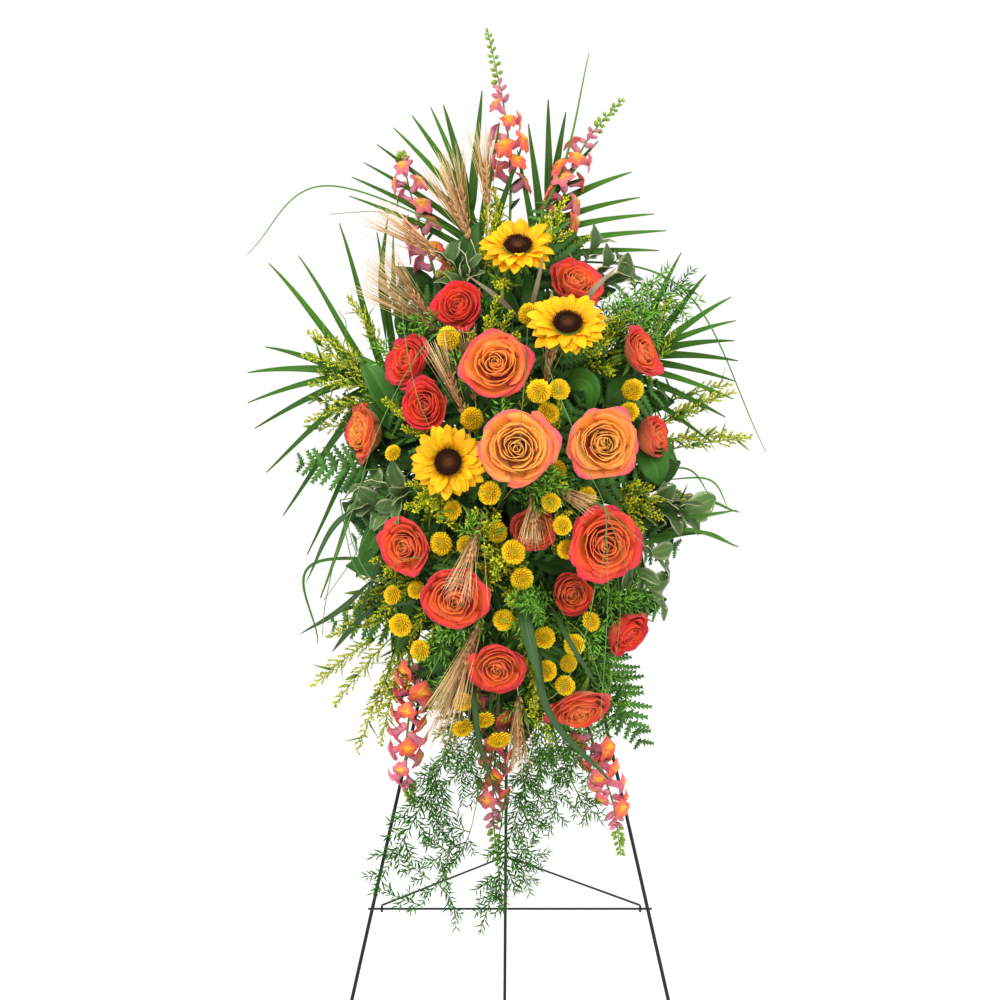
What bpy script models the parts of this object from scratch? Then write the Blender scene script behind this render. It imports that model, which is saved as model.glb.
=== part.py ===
"""Standing funeral spray: cut flowers and greenery in a foam cage on a folding wire easel.

Metres, Z up, X to the viewer's right, Y away from the viewer, origin on the floor.
"""

import math
import random

import bmesh
import bpy
from mathutils import Vector
from mathutils.bvhtree import BVHTree

CM = 0.01
MM = 0.001
GAP = 0.3 * MM
UP = Vector((0, 0, 1))
AWAY = Vector((0, 1, 0))
RIGHT = Vector((1, 0, 0))

# Easel frame: a leaning plane, measured across, along its slope and out to the front
LEAN = math.radians(9.5)
FOOT_Y = -0.13
MID_X = 0.005
LEG_WIRE = 2.5 * MM
BAR_WIRE = 1.5 * MM
BRACE_WIRE = 1.6 * MM
SHELF_WIRE = 2.0 * MM
BAR_Z = 0.352
BAR_HALF = 0.1935
LEG_SPLAY = 0.2207
FOOT_RISE = 0.010
LEG_TOP = 1.210
PIN_ALONG = 1.2023
PIN_FRONT = -(LEG_WIRE + SHELF_WIRE + GAP)
REAR_FOOT = Vector((-0.002, 0.280, 0.0))

# Foam block and its cage
FOAM_HALF = 0.060
FOAM_LOW = 0.7350
FOAM_HIGH = 1.1650
FOAM_BACK = 0.0075
FOAM_FRONT = 0.0915
TRAY = 0.0040
WALL = 0.0020
RIM = 0.0150
RIB = 0.0060
RIB_STEP = 0.0860
STEM_DEPTH = 0.024

ROSE_STEM = 2.4 * MM
THIN_STEM = 1.7 * MM

COLOURS = {
    "enamelled_wire": ((0.012, 0.024, 0.020), 0.42, 0.0),
    "cage_plastic": ((0.020, 0.075, 0.030), 0.45, 0.0),
    "wet_foam": ((0.045, 0.110, 0.055), 0.90, 0.0),
    "rose_coral": ((0.780, 0.130, 0.060), 0.55, 0.0),
    "rose_red": ((0.680, 0.060, 0.050), 0.55, 0.0),
    "rose_peach": ((0.860, 0.270, 0.110), 0.55, 0.0),
    "sunflower_gold": ((0.900, 0.480, 0.010), 0.55, 0.0),
    "sunflower_disc": ((0.040, 0.012, 0.008), 0.85, 0.0),
    "snapdragon_pink": ((0.620, 0.140, 0.150), 0.60, 0.0),
    "pom_yellow": ((0.850, 0.450, 0.010), 0.65, 0.0),
    "solidago_green": ((0.330, 0.340, 0.040), 0.70, 0.0),
    "wheat_straw": ((0.560, 0.330, 0.150), 0.65, 0.0),
    "palm_green": ((0.045, 0.150, 0.030), 0.40, 0.0),
    "fern_green": ((0.050, 0.170, 0.040), 0.50, 0.0),
    "asparagus_green": ((0.080, 0.260, 0.060), 0.55, 0.0),
    "pittosporum_green": ((0.160, 0.270, 0.130), 0.45, 0.0),
    "leaf_green": ((0.025, 0.100, 0.025), 0.40, 0.0),
    "grass_green": ((0.050, 0.170, 0.030), 0.45, 0.0),
}

# Roses: node, x, z, front, turn, lift, diameter (cm and degrees), corners, stretch, colour
ROSES = [
    ("rose_01_03_04", -6.5, 119.0, 15, -20, 15, 7.2, 10, 1.0, "rose_red"),
    ("rose_02", -1.5, 110.5, 23, -5, 12, 9.6, 15, 1.0, "rose_peach"),
    ("rose_01_03_04", -13.5, 111.5, 15, -45, 15, 8.0, 10, 1.0, "rose_red"),
    ("rose_01_03_04", -10.8, 105.2, 20, -25, 0, 7.2, 10, 1.0, "rose_red"),
    ("rose_05", -20.3, 102.3, 8, -75, 0, 8.6, 10, 1.2, "rose_peach"),
    ("rose_06", 1.3, 99.4, 27, 0, 0, 10.4, 15, 1.0, "rose_peach"),
    ("rose_07", 12.7, 100.1, 22, 12, 0, 9.8, 15, 1.0, "rose_peach"),
    ("rose_08", 9.6, 122.6, 12, 25, 30, 8.0, 10, 1.1, "rose_coral"),
    ("rose_09_10", 18.7, 113.0, 12, 50, 15, 7.2, 10, 1.2, "rose_coral"),
    ("rose_09_10", 20.4, 101.4, 12, 60, 10, 6.2, 10, 1.5, "rose_coral"),
    ("rose_11", 13.1, 86.8, 21, 15, -8, 10.4, 15, 1.0, "rose_coral"),
    ("rose_12_13", -13.7, 86.5, 17, -25, -5, 7.8, 10, 1.0, "rose_coral"),
    ("rose_12_13", -6.8, 79.5, 21, -10, -22, 9.6, 15, 1.0, "rose_coral"),
    ("rose_14_15", 3.6, 88.7, 18, 5, -10, 6.0, 10, 1.3, "rose_coral"),
    ("rose_14_15", 8.9, 80.0, 15, 15, -15, 6.0, 10, 1.2, "rose_coral"),
    ("rose_16_18", 16.6, 74.4, 13, 45, -35, 6.8, 10, 1.4, "rose_red"),
    ("rose_16_18", 10.0, 63.8, 13, 15, -50, 9.0, 15, 1.0, "rose_red"),
    ("rose_17", -1.2, 70.1, 17, 0, -25, 7.8, 10, 1.0, "rose_coral"),
]

# Where the stems with several roses fork
ROSE_FORKS = {
    "rose_01_03_04": (-7.5, 110, 8.5),
    "rose_09_10": (13, 106, 6),
    "rose_12_13": (-8, 82, 11),
    "rose_14_15": (5.5, 84, 11.5),
    "rose_16_18": (10, 71, 8),
}

# Sunflowers: name, x, z, front, turn, lift, diameter
SUNFLOWERS = [
    ("sunflower_01", 1.5, 126.9, 15, 0, 50, 11.2),
    ("sunflower_02", 7.9, 115.6, 22, 0, 42, 11.4),
    ("sunflower_03", -7.6, 97.6, 23, -5, 5, 10.6),
]

# Snapdragons: name, stem points (x, z, front), height along the stem where the flowers start
SNAPDRAGONS = [
    ("snapdragon_01", [(0.5, 131, 2), (0.6, 140, 1), (-0.2, 149, 0), (-2.8, 161.5, -1)], 6, 8),
    ("snapdragon_02", [(6.5, 131, 2), (9.5, 140, 1), (12.2, 145.5, 0), (17.0, 151, 0)], 6, 7),
    ("snapdragon_03", [(-9.9, 124, 4), (-12.0, 131, 3), (-13.8, 137, 1.6), (-15.2, 143, 1)], 5, 6),
    ("snapdragon_04", [(-12, 70, 9), (-13.6, 62, 9.5), (-13.9, 55.5, 9.5), (-13.0, 50.5, 9.5)], 6, 5),
    ("snapdragon_05", [(-1.5, 66, 10), (-1.6, 57, 10.5), (-1.9, 50, 10.5), (-1.2, 42.2, 10.5)], 6, 6),
    ("snapdragon_06", [(11.7, 60, 7), (13.1, 55.5, 9), (14.8, 50.5, 9.5), (15.9, 43.3, 9.5)], 6, 6),
]

# Button poms: name, fork (x, z, front), then heads (x, z, front, diameter)
POM_SPRAYS = [
    ("pom_spray_top", (1, 109, 12), [
        (2.8, 117.6, 17.5, 3.0), (-7.8, 114.2, 18.5, 3.2), (4.1, 106.7, 24.4, 3.2),
        (6.8, 107.1, 23, 2.9), (5.5, 104.1, 21.6, 2.9), (-4.6, 103.4, 20, 3.1)]),
    ("pom_spray_right", (9, 96, 11), [
        (17.0, 107.6, 15.5, 3.0), (16.4, 104.6, 16, 2.8), (6.7, 96.6, 20.6, 2.7),
        (5.7, 92.4, 22.4, 2.7), (10.6, 93.2, 19.4, 2.6), (7.2, 89.4, 22.4, 2.7),
        (7.9, 86.2, 19.6, 2.6)]),
    ("pom_spray_left", (-4, 90, 12), [
        (-15.4, 99.1, 15.5, 2.4), (-2.3, 93.6, 23, 3.1), (-7.2, 91.4, 21, 2.7),
        (-8.8, 86.9, 18.6, 3.2), (-5.4, 86.7, 19, 2.7), (-1.2, 88.4, 20, 2.9),
        (0.9, 85.9, 22, 3.3), (2.0, 82.3, 20.5, 3.1), (-0.4, 76.8, 19, 2.9)]),
    ("pom_spray_low_left", (-8, 72, 10), [
        (-15.6, 79.8, 14, 2.8), (-12.2, 80.6, 15.4, 2.5), (-14.4, 75.8, 15, 3.2),
        (-11.8, 72.4, 15, 3.0), (-5.9, 65.4, 15, 2.8), (-5.9, 61.7, 14.4, 3.0),
        (-2.9, 62.9, 15, 2.8), (-1.0, 60.1, 14.2, 3.3)]),
    ("pom_spray_low_right", (5, 73, 11), [
        (5.0, 74.4, 18, 3.0), (9.0, 73.4, 17.4, 3.0), (11.4, 76.4, 16, 2.8),
        (5.2, 69.9, 17.4, 3.0), (7.8, 67.8, 16.4, 2.8), (8.4, 70.6, 14.8, 2.5)]),
]

# Solidago: name, fork (x, z, front), then plume tips (x, z, front)
SOLIDAGO = [
    ("solidago_left", (-14, 107, 8), [
        (-28.3, 116.5, 5), (-29.0, 113.0, 6), (-28.0, 108.8, 6), (-22.5, 121.5, 5),
        (-28.3, 103.5, 7)]),
    ("solidago_low_left", (-13, 76, 9), [
        (-27.3, 66.5, 8), (-24.0, 64.0, 9), (-20.8, 57.5, 9), (-17.5, 58.5, 10),
        (-25.0, 73.5, 9)]),
    ("solidago_top", (0, 122, 8), [
        (-3.6, 127.0, 12), (-1.0, 121.0, 18), (-9.6, 123.8, 11), (-1.8, 137.0, 5),
        (8.8, 135.5, 5)]),
    ("solidago_mid", (0, 80, 11), [
        (-11.2, 93.2, 19), (0.6, 79.0, 22), (-3.8, 84.0, 20), (6.0, 58.5, 12),
        (12.0, 70.4, 12)]),
    ("solidago_right", (14, 99, 6), [
        (34.4, 101.5, 4), (32.6, 108.0, 4), (26.3, 91.0, 6), (23.5, 121.5, 4)]),
]

# Wheat: name, fork (x, z, front), then ears (base x, z, front, tip of the awns x, z, front)
WHEAT = [
    ("wheat_top", (-3.3, 121.3, 8.2), [
        (-2.6, 134, 8, -3.4, 145.5, 7), (-5.0, 129, 9, -10.8, 140.5, 8),
        (-8.3, 125.8, 9.6, -19.7, 132.8, 10), (-5.4, 131, 6, -8.0, 143.5, 5)]),
    ("wheat_mid", (-5.5, 85.6, 10.5), [
        (-5.6, 104.0, 19, -9.6, 114.5, 20), (-4.2, 106.0, 16, -5.5, 116.5, 16),
        (5.2, 95.0, 20, 11.6, 91.4, 23), (3.6, 94.6, 19, 3.4, 86.6, 23),
        (-3.4, 89.8, 20.5, -6.4, 79.6, 26.5), (-4.6, 72.0, 14, -9.2, 57.5, 13),
        (1.6, 66.0, 13, 2.0, 54.5, 12.5)]),
]

# Palm fronds: name, rib points (x, z, front), end leaflet, leaflets on each side (x, z, front)
PALMS = [
    ("palm_top_left", [(-2.0, 124, 3), (-3.6, 130, 2), (-5.6, 137, 1)], (-9.1, 150.0, 0), [
        (-10.9, 149.4, 1), (-13.6, 148.2, 1), (-16.2, 146.2, 2), (-18.6, 143.8, 2),
        (-20.5, 141.2, 2), (-22.1, 138.9, 3), (-22.4, 136.0, 4),
        (-6.6, 131.0, 8, 0.017)], [
        (-3.5, 151.8, 1), (-1.0, 147.0, 1), (2.4, 144.0, 2)]),
    ("palm_top_right", [(3.4, 125, 2), (5.0, 131, 1), (6.6, 137.5, 0)], (8.7, 149.2, -1), [
        (6.1, 150.8, 0), (3.2, 147.0, 1), (1.6, 143.0, 2)], [
        (13.4, 145.0, -1), (18.3, 140.5, -1), (19.4, 136.6, 0), (21.4, 134.0, 1),
        (23.0, 131.4, 2), (21.8, 128.4, 3)]),
    ("palm_left", [(-13, 106, 3), (-18, 109, 3), (-23, 111, 3)], (-37.2, 111.0, 2), [
        (-37.0, 106.6, 3), (-35.8, 102.9, 4), (-34.0, 96.6, 5), (-31.5, 90.5, 6),
        (-28.0, 85.0, 7), (-26.0, 79.0, 8)], [
        (-34.8, 114.8, 1), (-34.1, 126.7, 2), (-30.0, 128.0, 1), (-24.0, 132.5, 2),
        (-18.5, 131.0, 3)]),
    ("palm_right", [(13, 109, 3), (18, 112.5, 2), (22, 115, 2)], (32.5, 122.0, 1), [
        (29.0, 125.4, 0), (25.4, 128.6, 0)], [
        (33.2, 118.6, 1), (32.8, 115.6, 2), (33.2, 112.6, 3), (32.6, 109.6, 4),
        (32.2, 107.0, 5), (30.9, 104.4, 6), (28.6, 101.0, 7)]),
]

# Leatherleaf fern: name, rib points, pinna length at the foot, pairs of pinnae
LEATHERLEAF = [
    ("leatherleaf_left", [(-12, 95, 6), (-20, 97, 7), (-29.5, 98, 8)], 7.0, 6),
    ("leatherleaf_low_right", [(10, 72, 5), (15, 66, 5.5), (19.5, 58, 7)], 6.5, 6),
]

# Asparagus fern: name, strand points, pairs of side shoots
ASPARAGUS = [
    ("asparagus_right", [(14, 110, 2), (20, 119, 1), (27, 126, 0)], 5),
    ("asparagus_low_left", [(-5, 64, 10), (-11, 52, 11.5), (-18.4, 38.5, 11.5)], 6),
    ("asparagus_low_mid", [(4, 60, 9), (1.5, 50, 12.5), (-3.5, 33.8, 12.5)], 6),
]

# Leafy stems: name, stem points, leaf length, leaves, colour
LEAFY = [
    ("pittosporum_left", [(-10, 92.5, 9), (-14, 92.5, 11), (-19.5, 92, 11)], 4.2, 9, "pittosporum_green"),
    ("pittosporum_right", [(14, 93, 8), (20, 92, 9), (25.5, 91, 9)], 4.6, 9, "pittosporum_green"),
]

# Broad leaves: name, fork, then leaves (tip x, z, front, half width)
BROAD = [
    ("broad_leaf_left", (-12, 98, 6), [
        (-20.5, 113.0, 7, 1.8), (-21.0, 107.0, 8, 1.6), (-20.8, 82.0, 10, 1.6),
        (-17.0, 82.0, 11, 1.4)]),
    ("broad_leaf_right", (10, 110, 6), [
        (24.0, 98.0, 7, 1.8), (12.8, 109.2, 15, 2.2)]),
]

# Grass: name, fork, then blades (middle x, z, front, tip x, z, front, half width)
GRASS = [
    ("grass_top", (1, 127, 5), [
        (-24.5, 136.0, 11, -36.3, 127.0, 8, 0.20), (8.0, 140, 3, 11.9, 157.0, 2, 0.28),
        (24.5, 123.5, 3, 37.2, 99.5, 3, 0.22)]),
    ("grass_low", (4, 82, 11.5), [
        (-26.5, 84.0, 5, -26.6, 72.5, 6, 0.25), (5.0, 66.0, 20.5, 13.4, 55.8, 19.5, 0.60),
        (25.0, 92.0, 7, 32.6, 91.0, 8, 0.35), (25.0, 88.0, 8, 32.3, 86.2, 9, 0.35)]),
]

# How far a stalk may bow aside on its way, first choice first (across, away, up, in shares)
BOWS = [(0, 0, 0), (0, 0, 0.12), (0, 0, -0.12), (0.12, 0, 0), (-0.12, 0, 0), (0, 0.14, 0),
        (0, -0.14, 0), (0, 0, 0.25), (0, 0, -0.25), (0.25, 0, 0), (-0.25, 0, 0), (0, 0.26, 0),
        (0.2, 0.2, 0), (-0.2, 0.2, 0), (0.2, -0.2, 0), (-0.2, -0.2, 0), (0, 0.2, 0.2),
        (0, 0.2, -0.2), (0, -0.25, 0), (0.3, 0.1, 0.2), (-0.3, 0.1, 0.2), (0.3, 0.1, -0.2),
        (-0.3, 0.1, -0.2)]


def point(x, z, front):
    """A place in the spray, given in centimetres."""
    return Vector((x * CM, -front * CM, z * CM))


def on_frame(across, along, front):
    """A place measured on the leaning plane of the easel."""
    return Vector((MID_X + across,
                   FOOT_Y + along * math.sin(LEAN) - front * math.cos(LEAN),
                   along * math.cos(LEAN) + front * math.sin(LEAN)))


def frame_direction(across, along, front):
    return on_frame(across, along, front) - on_frame(0, 0, 0)


def heading(turn, lift):
    turn = math.radians(turn)
    lift = math.radians(lift)
    return Vector((math.sin(turn) * math.cos(lift), -math.cos(turn) * math.cos(lift), math.sin(lift)))


def face_axes(turn, lift):
    ahead = heading(turn, lift)
    across = Vector((math.cos(math.radians(turn)), math.sin(math.radians(turn)), 0))
    return across, ahead.cross(across), ahead


def middle(places):
    return sum(places, Vector()) / len(places)


def curve(a, b, c, d, steps):
    """Points and directions of a cubic curve, without its first point."""
    result = []
    for i in range(1, steps + 1):
        t = i / steps
        s = 1 - t
        place = a * s ** 3 + b * 3 * s * s * t + c * 3 * s * t * t + d * t ** 3
        ahead = (b - a) * s * s + (c - b) * 2 * s * t + (d - c) * t * t
        result.append((place, ahead.normalized()))
    return result


def headed(places):
    """Gives each point of a path the direction of the path there."""
    last = len(places) - 1
    return [(p, (places[min(i + 1, last)] - places[max(i - 1, 0)]).normalized())
            for i, p in enumerate(places)]


def matched(low, high):
    """Turns a ring so that its corners follow those of the ring below."""
    low_mid = middle(low)
    high_mid = middle(high)
    low_way = [(p - low_mid).normalized() for p in low]
    high_way = [(p - high_mid).normalized() for p in high]
    count = len(high)
    picks = [round(i * count / len(low)) for i in range(len(low))]

    def miss(shift):
        return sum((w - high_way[(k + shift) % count]).length_squared for w, k in zip(low_way, picks))

    best = min(range(count), key=miss)
    return high[best:] + high[:best]


def ring_round(centre, across, up, wide, high, corners, phase):
    return [centre + across * (wide * math.cos(phase + math.tau * k / corners))
            + up * (high * math.sin(phase + math.tau * k / corners)) for k in range(corners)]


class Skin:
    """One closed skin, grown ring by ring, with shoots out of its own faces."""

    def __init__(self, name, colour):
        self.name = name
        self.colour = colour
        self.points = []
        self.faces = {}
        self.made = 0

    def ring(self, places):
        first = len(self.points)
        self.points.extend(places)
        return list(range(first, len(self.points)))

    def face(self, *corners):
        self.made += 1
        self.faces[self.made] = corners
        return self.made

    def band(self, low, high):
        n = len(low)
        return [self.face(low[i], low[(i + 1) % n], high[(i + 1) % n], high[i]) for i in range(n)]

    def spread(self, low, high):
        """Joins a ring to one with more corners."""
        n = len(low)
        m = len(high)
        starts = [round(i * m / n) for i in range(n + 1)]
        for i in range(n):
            for k in range(starts[i], starts[i + 1]):
                self.face(low[i], high[(k + 1) % m], high[k % m])
            self.face(low[i], low[(i + 1) % n], high[starts[i + 1] % m])

    def close(self, ring, tip):
        apex = self.ring([tip])[0]
        for i, corner in enumerate(ring):
            self.face(corner, ring[(i + 1) % len(ring)], apex)

    def triangles(self, skip=()):
        result = []
        for corners in self.faces.values():
            if skip and any(c in skip for c in corners):
                continue
            for k in range(1, len(corners) - 1):
                result.append((corners[0], corners[k], corners[k + 1]))
        return result

    def centre(self, key):
        return middle([self.points[i] for i in self.faces[key]])

    def outward(self, key):
        a, b, c = (self.points[i] for i in self.faces[key][:3])
        return (b - a).cross(c - b).normalized()


class Space:
    """Everything that already stands, so that repeats don't grow through it."""

    def __init__(self):
        self.points = []
        self.faces = []
        self.tree = None

    def add(self, skin):
        first = len(self.points)
        self.points.extend(skin.points)
        self.faces.extend(tuple(i + first for i in t) for t in skin.triangles())
        self.tree = BVHTree.FromPolygons(self.points, self.faces, all_triangles=True)

    def free(self, points, faces, first=0, gap=GAP):
        probe = BVHTree.FromPolygons(points, faces, all_triangles=True)
        if probe.overlap(self.tree):
            return False
        for place in points[first:]:
            if self.tree.find_nearest(place, gap)[0] is not None:
                return False
        return not self.inside(points[-1])

    def inside(self, place):
        way = Vector((0.13, -0.21, 0.97)).normalized()
        hits = 0
        start = place.copy()
        while True:
            spot = self.tree.ray_cast(start, way)[0]
            if spot is None:
                return hits % 2 == 1
            hits += 1
            start = spot + way * 1e-6


# All that stands outside the foam, the stems inside it, the holes used and the places still free
SPACE = Space()
BURIED = Space()
HOLES = []
PORTS = []
SKINS = []


def grow_stem(skin, path, radii, side=None):
    """A four-sided stem through points and directions; returns its last ring and its bands."""
    ahead = path[0][1]
    if side is None:
        side = UP if abs(ahead.z) < 0.7 else AWAY
    ring = None
    bands = []
    for (place, ahead), radius in zip(path, radii):
        side = (side - ahead * side.dot(ahead)).normalized()
        up = ahead.cross(side)
        places = ring_round(place, side, up, radius * 1.3, radius * 1.3, 4, math.radians(225))
        new = skin.ring(places)
        if ring is None:
            skin.face(*reversed(new))
        else:
            bands.append(skin.band(ring, new))
        ring = new
    return ring, bands


def planned(skin, key, path, sizes, flat, sharp):
    """The rings of a limb that would grow out of one face along a path."""
    low = [skin.points[i] for i in skin.faces[key]]
    spine = [middle(low)] + path
    rings = []
    for i, (wide, thick) in enumerate(sizes):
        ahead = (spine[min(i + 2, len(spine) - 1)] - spine[i]).normalized()
        across = flat.cross(ahead)
        if across.length < 0.05:
            across = ahead.orthogonal()
        across.normalize()
        up = ahead.cross(across)
        if sharp:
            offsets = [(-wide, 0), (0, -thick), (wide, 0), (0, thick)]
        else:
            offsets = [(-wide, -thick), (wide, -thick), (wide, thick), (-wide, thick)]
        low = matched(low, [spine[i + 1] + across * a + up * b for a, b in offsets])
        rings.append(low)
    return rings


def allowed(skin, key, rings, tip):
    """True if a planned limb stays clear of its own plant and of all the others."""
    corners = skin.faces[key]
    piece = [skin.points[i] for i in corners]
    for ring in rings:
        piece.extend(ring)
    piece.append(tip)
    faces = []
    levels = len(rings)
    for level in range(levels):
        a = level * 4
        for k in range(4):
            n = (k + 1) % 4
            faces.append((a + k, a + n, a + 4 + n))
            faces.append((a + k, a + 4 + n, a + 4 + k))
    for k in range(4):
        faces.append((levels * 4 + k, levels * 4 + (k + 1) % 4, len(piece) - 1))
    rest = skin.triangles(set(corners))
    if rest:
        own = BVHTree.FromPolygons(skin.points, rest, all_triangles=True)
        if BVHTree.FromPolygons(piece, faces, all_triangles=True).overlap(own):
            return False
    return SPACE.free(piece, faces, 4)


def opened(skin, key, rings):
    """Opens a face and carries it on through rings; returns the last ring and the bands."""
    ring = list(skin.faces.pop(key))
    bands = []
    for places in rings:
        new = skin.ring(places)
        bands.append(skin.band(ring, new))
        ring = new
    return ring, bands


def shoot(skin, key, path, sizes, flat, sharp=True):
    """Grows a pointed limb out of one face, where there is room for it."""
    rings = planned(skin, key, path, sizes, flat, sharp)
    if not allowed(skin, key, rings, path[-1]):
        return None
    ring, bands = opened(skin, key, rings)
    skin.close(ring, path[-1])
    return bands


def faces_towards(skin, bands, target):
    """The free faces of a fork, the one that looks most towards a place first."""
    keys = [k for band in bands for k in band if k in skin.faces]
    return sorted(keys, key=lambda k: -skin.outward(k).dot((target - skin.centre(k)).normalized()))


def bowed(start, end, bow, t):
    across, away, up = bow
    aside = (RIGHT * across + AWAY * away + UP * up) * (end - start).length
    return start.lerp(end, t) + aside * math.sin(math.pi * t)


def stalk(skin, bands, foot, facing, radius, tip):
    """A stalk from a fork to the foot of a head; returns its open ring."""
    for key in faces_towards(skin, bands, foot)[:6]:
        start = skin.centre(key)
        reach = (foot - start).length
        for bow in BOWS:
            near = foot - facing * (0.25 * reach)
            path = [bowed(start, near, bow, 0.5), foot]
            sizes = [(radius, radius)] * 2
            rings = planned(skin, key, path + [tip], sizes, UP if abs(facing.z) < 0.7 else AWAY, False)
            if allowed(skin, key, rings, tip):
                return opened(skin, key, rings)[0]
    key = faces_towards(skin, bands, foot)[0]
    return opened(skin, key, [])[0]


def limb(skin, bands, end, stops, sizes, flat, sharp=False, sag=0.0, bend=None):
    """A pointed limb from a fork, bowed aside where the straight way is taken."""
    for key in faces_towards(skin, bands, bend or end)[:6]:
        start = skin.centre(key)
        for bow in BOWS:
            if bend:
                pull = bend * 1.5 - (start + end) * 0.25
                path = [start * (1 - t) ** 2 + pull * (2 * t * (1 - t)) + end * t * t for t in stops]
                path = [p + (RIGHT * bow[0] + AWAY * bow[1] + UP * bow[2]) * (0.2 * CM + 4 * CM * (1 - t))
                        for p, t in zip(path, stops)]
            else:
                path = [bowed(start, end, bow, t) + UP * (sag * math.sin(math.pi * t)) for t in stops]
            grown = shoot(skin, key, path + [end], sizes, flat, sharp)
            if grown:
                return grown
    return None


def make_ports():
    rows = [FOAM_LOW + 0.020]
    for bay in range(4):
        for k in range(3):
            rows.append(FOAM_LOW + 0.043 + RIB_STEP * bay + 0.017 + 0.026 * k)
    rows.append(FOAM_HIGH - 0.020)
    front = frame_direction(0, 0, 1)
    along = frame_direction(0, 1, 0)
    for row in rows:
        for column in (-2, -1, 0, 1, 2):
            PORTS.append((on_frame(0.022 * column, row, FOAM_FRONT), front))
        for depth in (0.028, 0.050):
            PORTS.append((on_frame(-FOAM_HALF, row, depth), -RIGHT))
            PORTS.append((on_frame(FOAM_HALF, row, depth), RIGHT))
    for across in (-0.040, -0.0133, 0.0133, 0.040):
        for depth in (0.030, 0.055):
            PORTS.append((on_frame(across, FOAM_HIGH, depth), along))
            PORTS.append((on_frame(across, FOAM_LOW, depth), -along))


def port_cost(port, target):
    """How badly a place in the foam suits a head: distance, and turning away from it."""
    way = target - port[0]
    return way.length + 0.10 * (1 - way.normalized().dot(port[1]))


def stem_path(port, target, facing, steps):
    entry, outward = port
    reach = (target - entry).length
    aim = (outward * 0.8 + (target - entry) / reach).normalized()
    inner = entry - aim * STEM_DEPTH
    start = entry + aim * 0.006
    pull = reach * 0.38
    return [(inner, aim), (start, aim)] + curve(start, start + aim * pull, target - facing * pull,
                                                target, steps)


def foam_stem(skin, target, facing, radius, steps=3):
    """A stem from a hole in the foam to the foot of a head; returns its ring and bands."""
    ports = sorted(PORTS, key=lambda p: port_cost(p, target))
    chosen = None
    for port in ports[:30]:
        path = stem_path(port, target, facing, steps)
        trial = Skin("trial", "")
        grow_stem(trial, path[1:], [radius] * (len(path) - 1))
        buried = Skin("trial", "")
        grow_stem(buried, path[:2], [radius] * 2)
        if SPACE.free(trial.points, trial.triangles(), gap=0.8 * MM) and (
                not BURIED.faces or BURIED.free(buried.points, buried.triangles(), gap=1.5 * MM)):
            chosen = port
            BURIED.add(buried)
            break
    if chosen is None:
        chosen = ports[0]
        path = stem_path(chosen, target, facing, steps)
    PORTS.remove(chosen)
    HOLES.append((path[0][0], chosen[0], path[0][1], radius))
    return grow_stem(skin, path, [radius] * len(path))


def store(skin):
    SPACE.add(skin)
    SKINS.append(skin)


def fork(skin, place, radius, levels=2):
    """A stem that ends in a short fork, whose faces carry the limbs of a bunch."""
    inside = on_frame(0, min(max(place.z, 0.80), 1.10) / math.cos(LEAN), 0.05)
    away = (place - inside).normalized()
    ring = foam_stem(skin, place, away, radius, 2)[0]
    steps = []
    side = UP if abs(away.z) < 0.7 else AWAY
    side = (side - away * side.dot(away)).normalized()
    for k in range(1, levels + 1):
        places = ring_round(place + away * (0.005 * k), side, away.cross(side), radius * 1.3,
                            radius * 1.3, 4, math.radians(225 + 20 * k))
        places = matched([skin.points[i] for i in ring], places)
        new = skin.ring(places)
        steps.append(skin.band(ring, new))
        ring = new
    skin.close(ring, place + away * (0.005 * levels + 0.006))
    return steps


# Heads

def lobed(radius, height, corners, petals, phase, notch, drop):
    """A ring of petal edges: full on each petal and notched between them."""
    places = []
    for k in range(corners):
        angle = math.tau * k / corners
        full = abs(math.sin(petals * (angle - phase) / 2)) ** 0.7
        reach = radius * (1 - notch * (1 - full))
        places.append((reach * math.cos(angle), reach * math.sin(angle), height - drop * (1 - full)))
    return places


def rose(skin, ring, place, turn, lift, radius, corners, stretch):
    across, up, ahead = face_axes(turn, lift)
    petals = 5
    half = math.pi / petals
    profile = [
        (0.20, -0.56, 0.0, 0.0, 0.0),
        (0.82, -0.30, 0.0, 0.06, 0.02),
        (1.00, -0.02, 0.0, 0.16, 0.10),
        (0.66, -0.16, 0.0, 0.04, 0.00),
        (0.70, 0.12, half, 0.14, 0.10),
        (0.44, -0.02, half, 0.04, 0.00),
        (0.38, 0.20, 0.0, 0.16, 0.08),
    ]
    for reach, height, phase, notch, drop in profile:
        local = lobed(reach, height, corners, petals, phase, notch, drop)
        places = [place + (across * x + up * y + ahead * (z * stretch)) * radius for x, y, z in local]
        places = matched([skin.points[i] for i in ring], places)
        new = skin.ring(places)
        if len(ring) == 4:
            skin.spread(ring, new)
        else:
            skin.band(ring, new)
        ring = new
    skin.close(ring, place + ahead * (0.02 * radius * stretch))


def rose_stem(name):
    """All the roses of one stem: one on its own, or two on a fork."""
    rows = [row for row in ROSES if row[0] == name]
    skin = Skin(name, rows[0][9])
    heads = []
    for row in rows:
        place = point(*row[1:4])
        ahead = heading(row[4], row[5])
        radius = row[6] * CM / 2
        heads.append((place, ahead, radius, place - ahead * (0.62 * radius * row[8])))
    if len(rows) == 1:
        ring = foam_stem(skin, heads[0][3], heads[0][1], ROSE_STEM)[0]
        rose(skin, ring, heads[0][0], *rows[0][4:6], heads[0][2], *rows[0][7:9])
    else:
        steps = fork(skin, point(*ROSE_FORKS[name]), ROSE_STEM)
        for row, head in zip(rows, heads):
            ring = stalk(skin, steps, head[3], head[1], ROSE_STEM, head[0])
            rose(skin, ring, head[0], *row[4:6], head[2], *row[7:9])
    store(skin)


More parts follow.
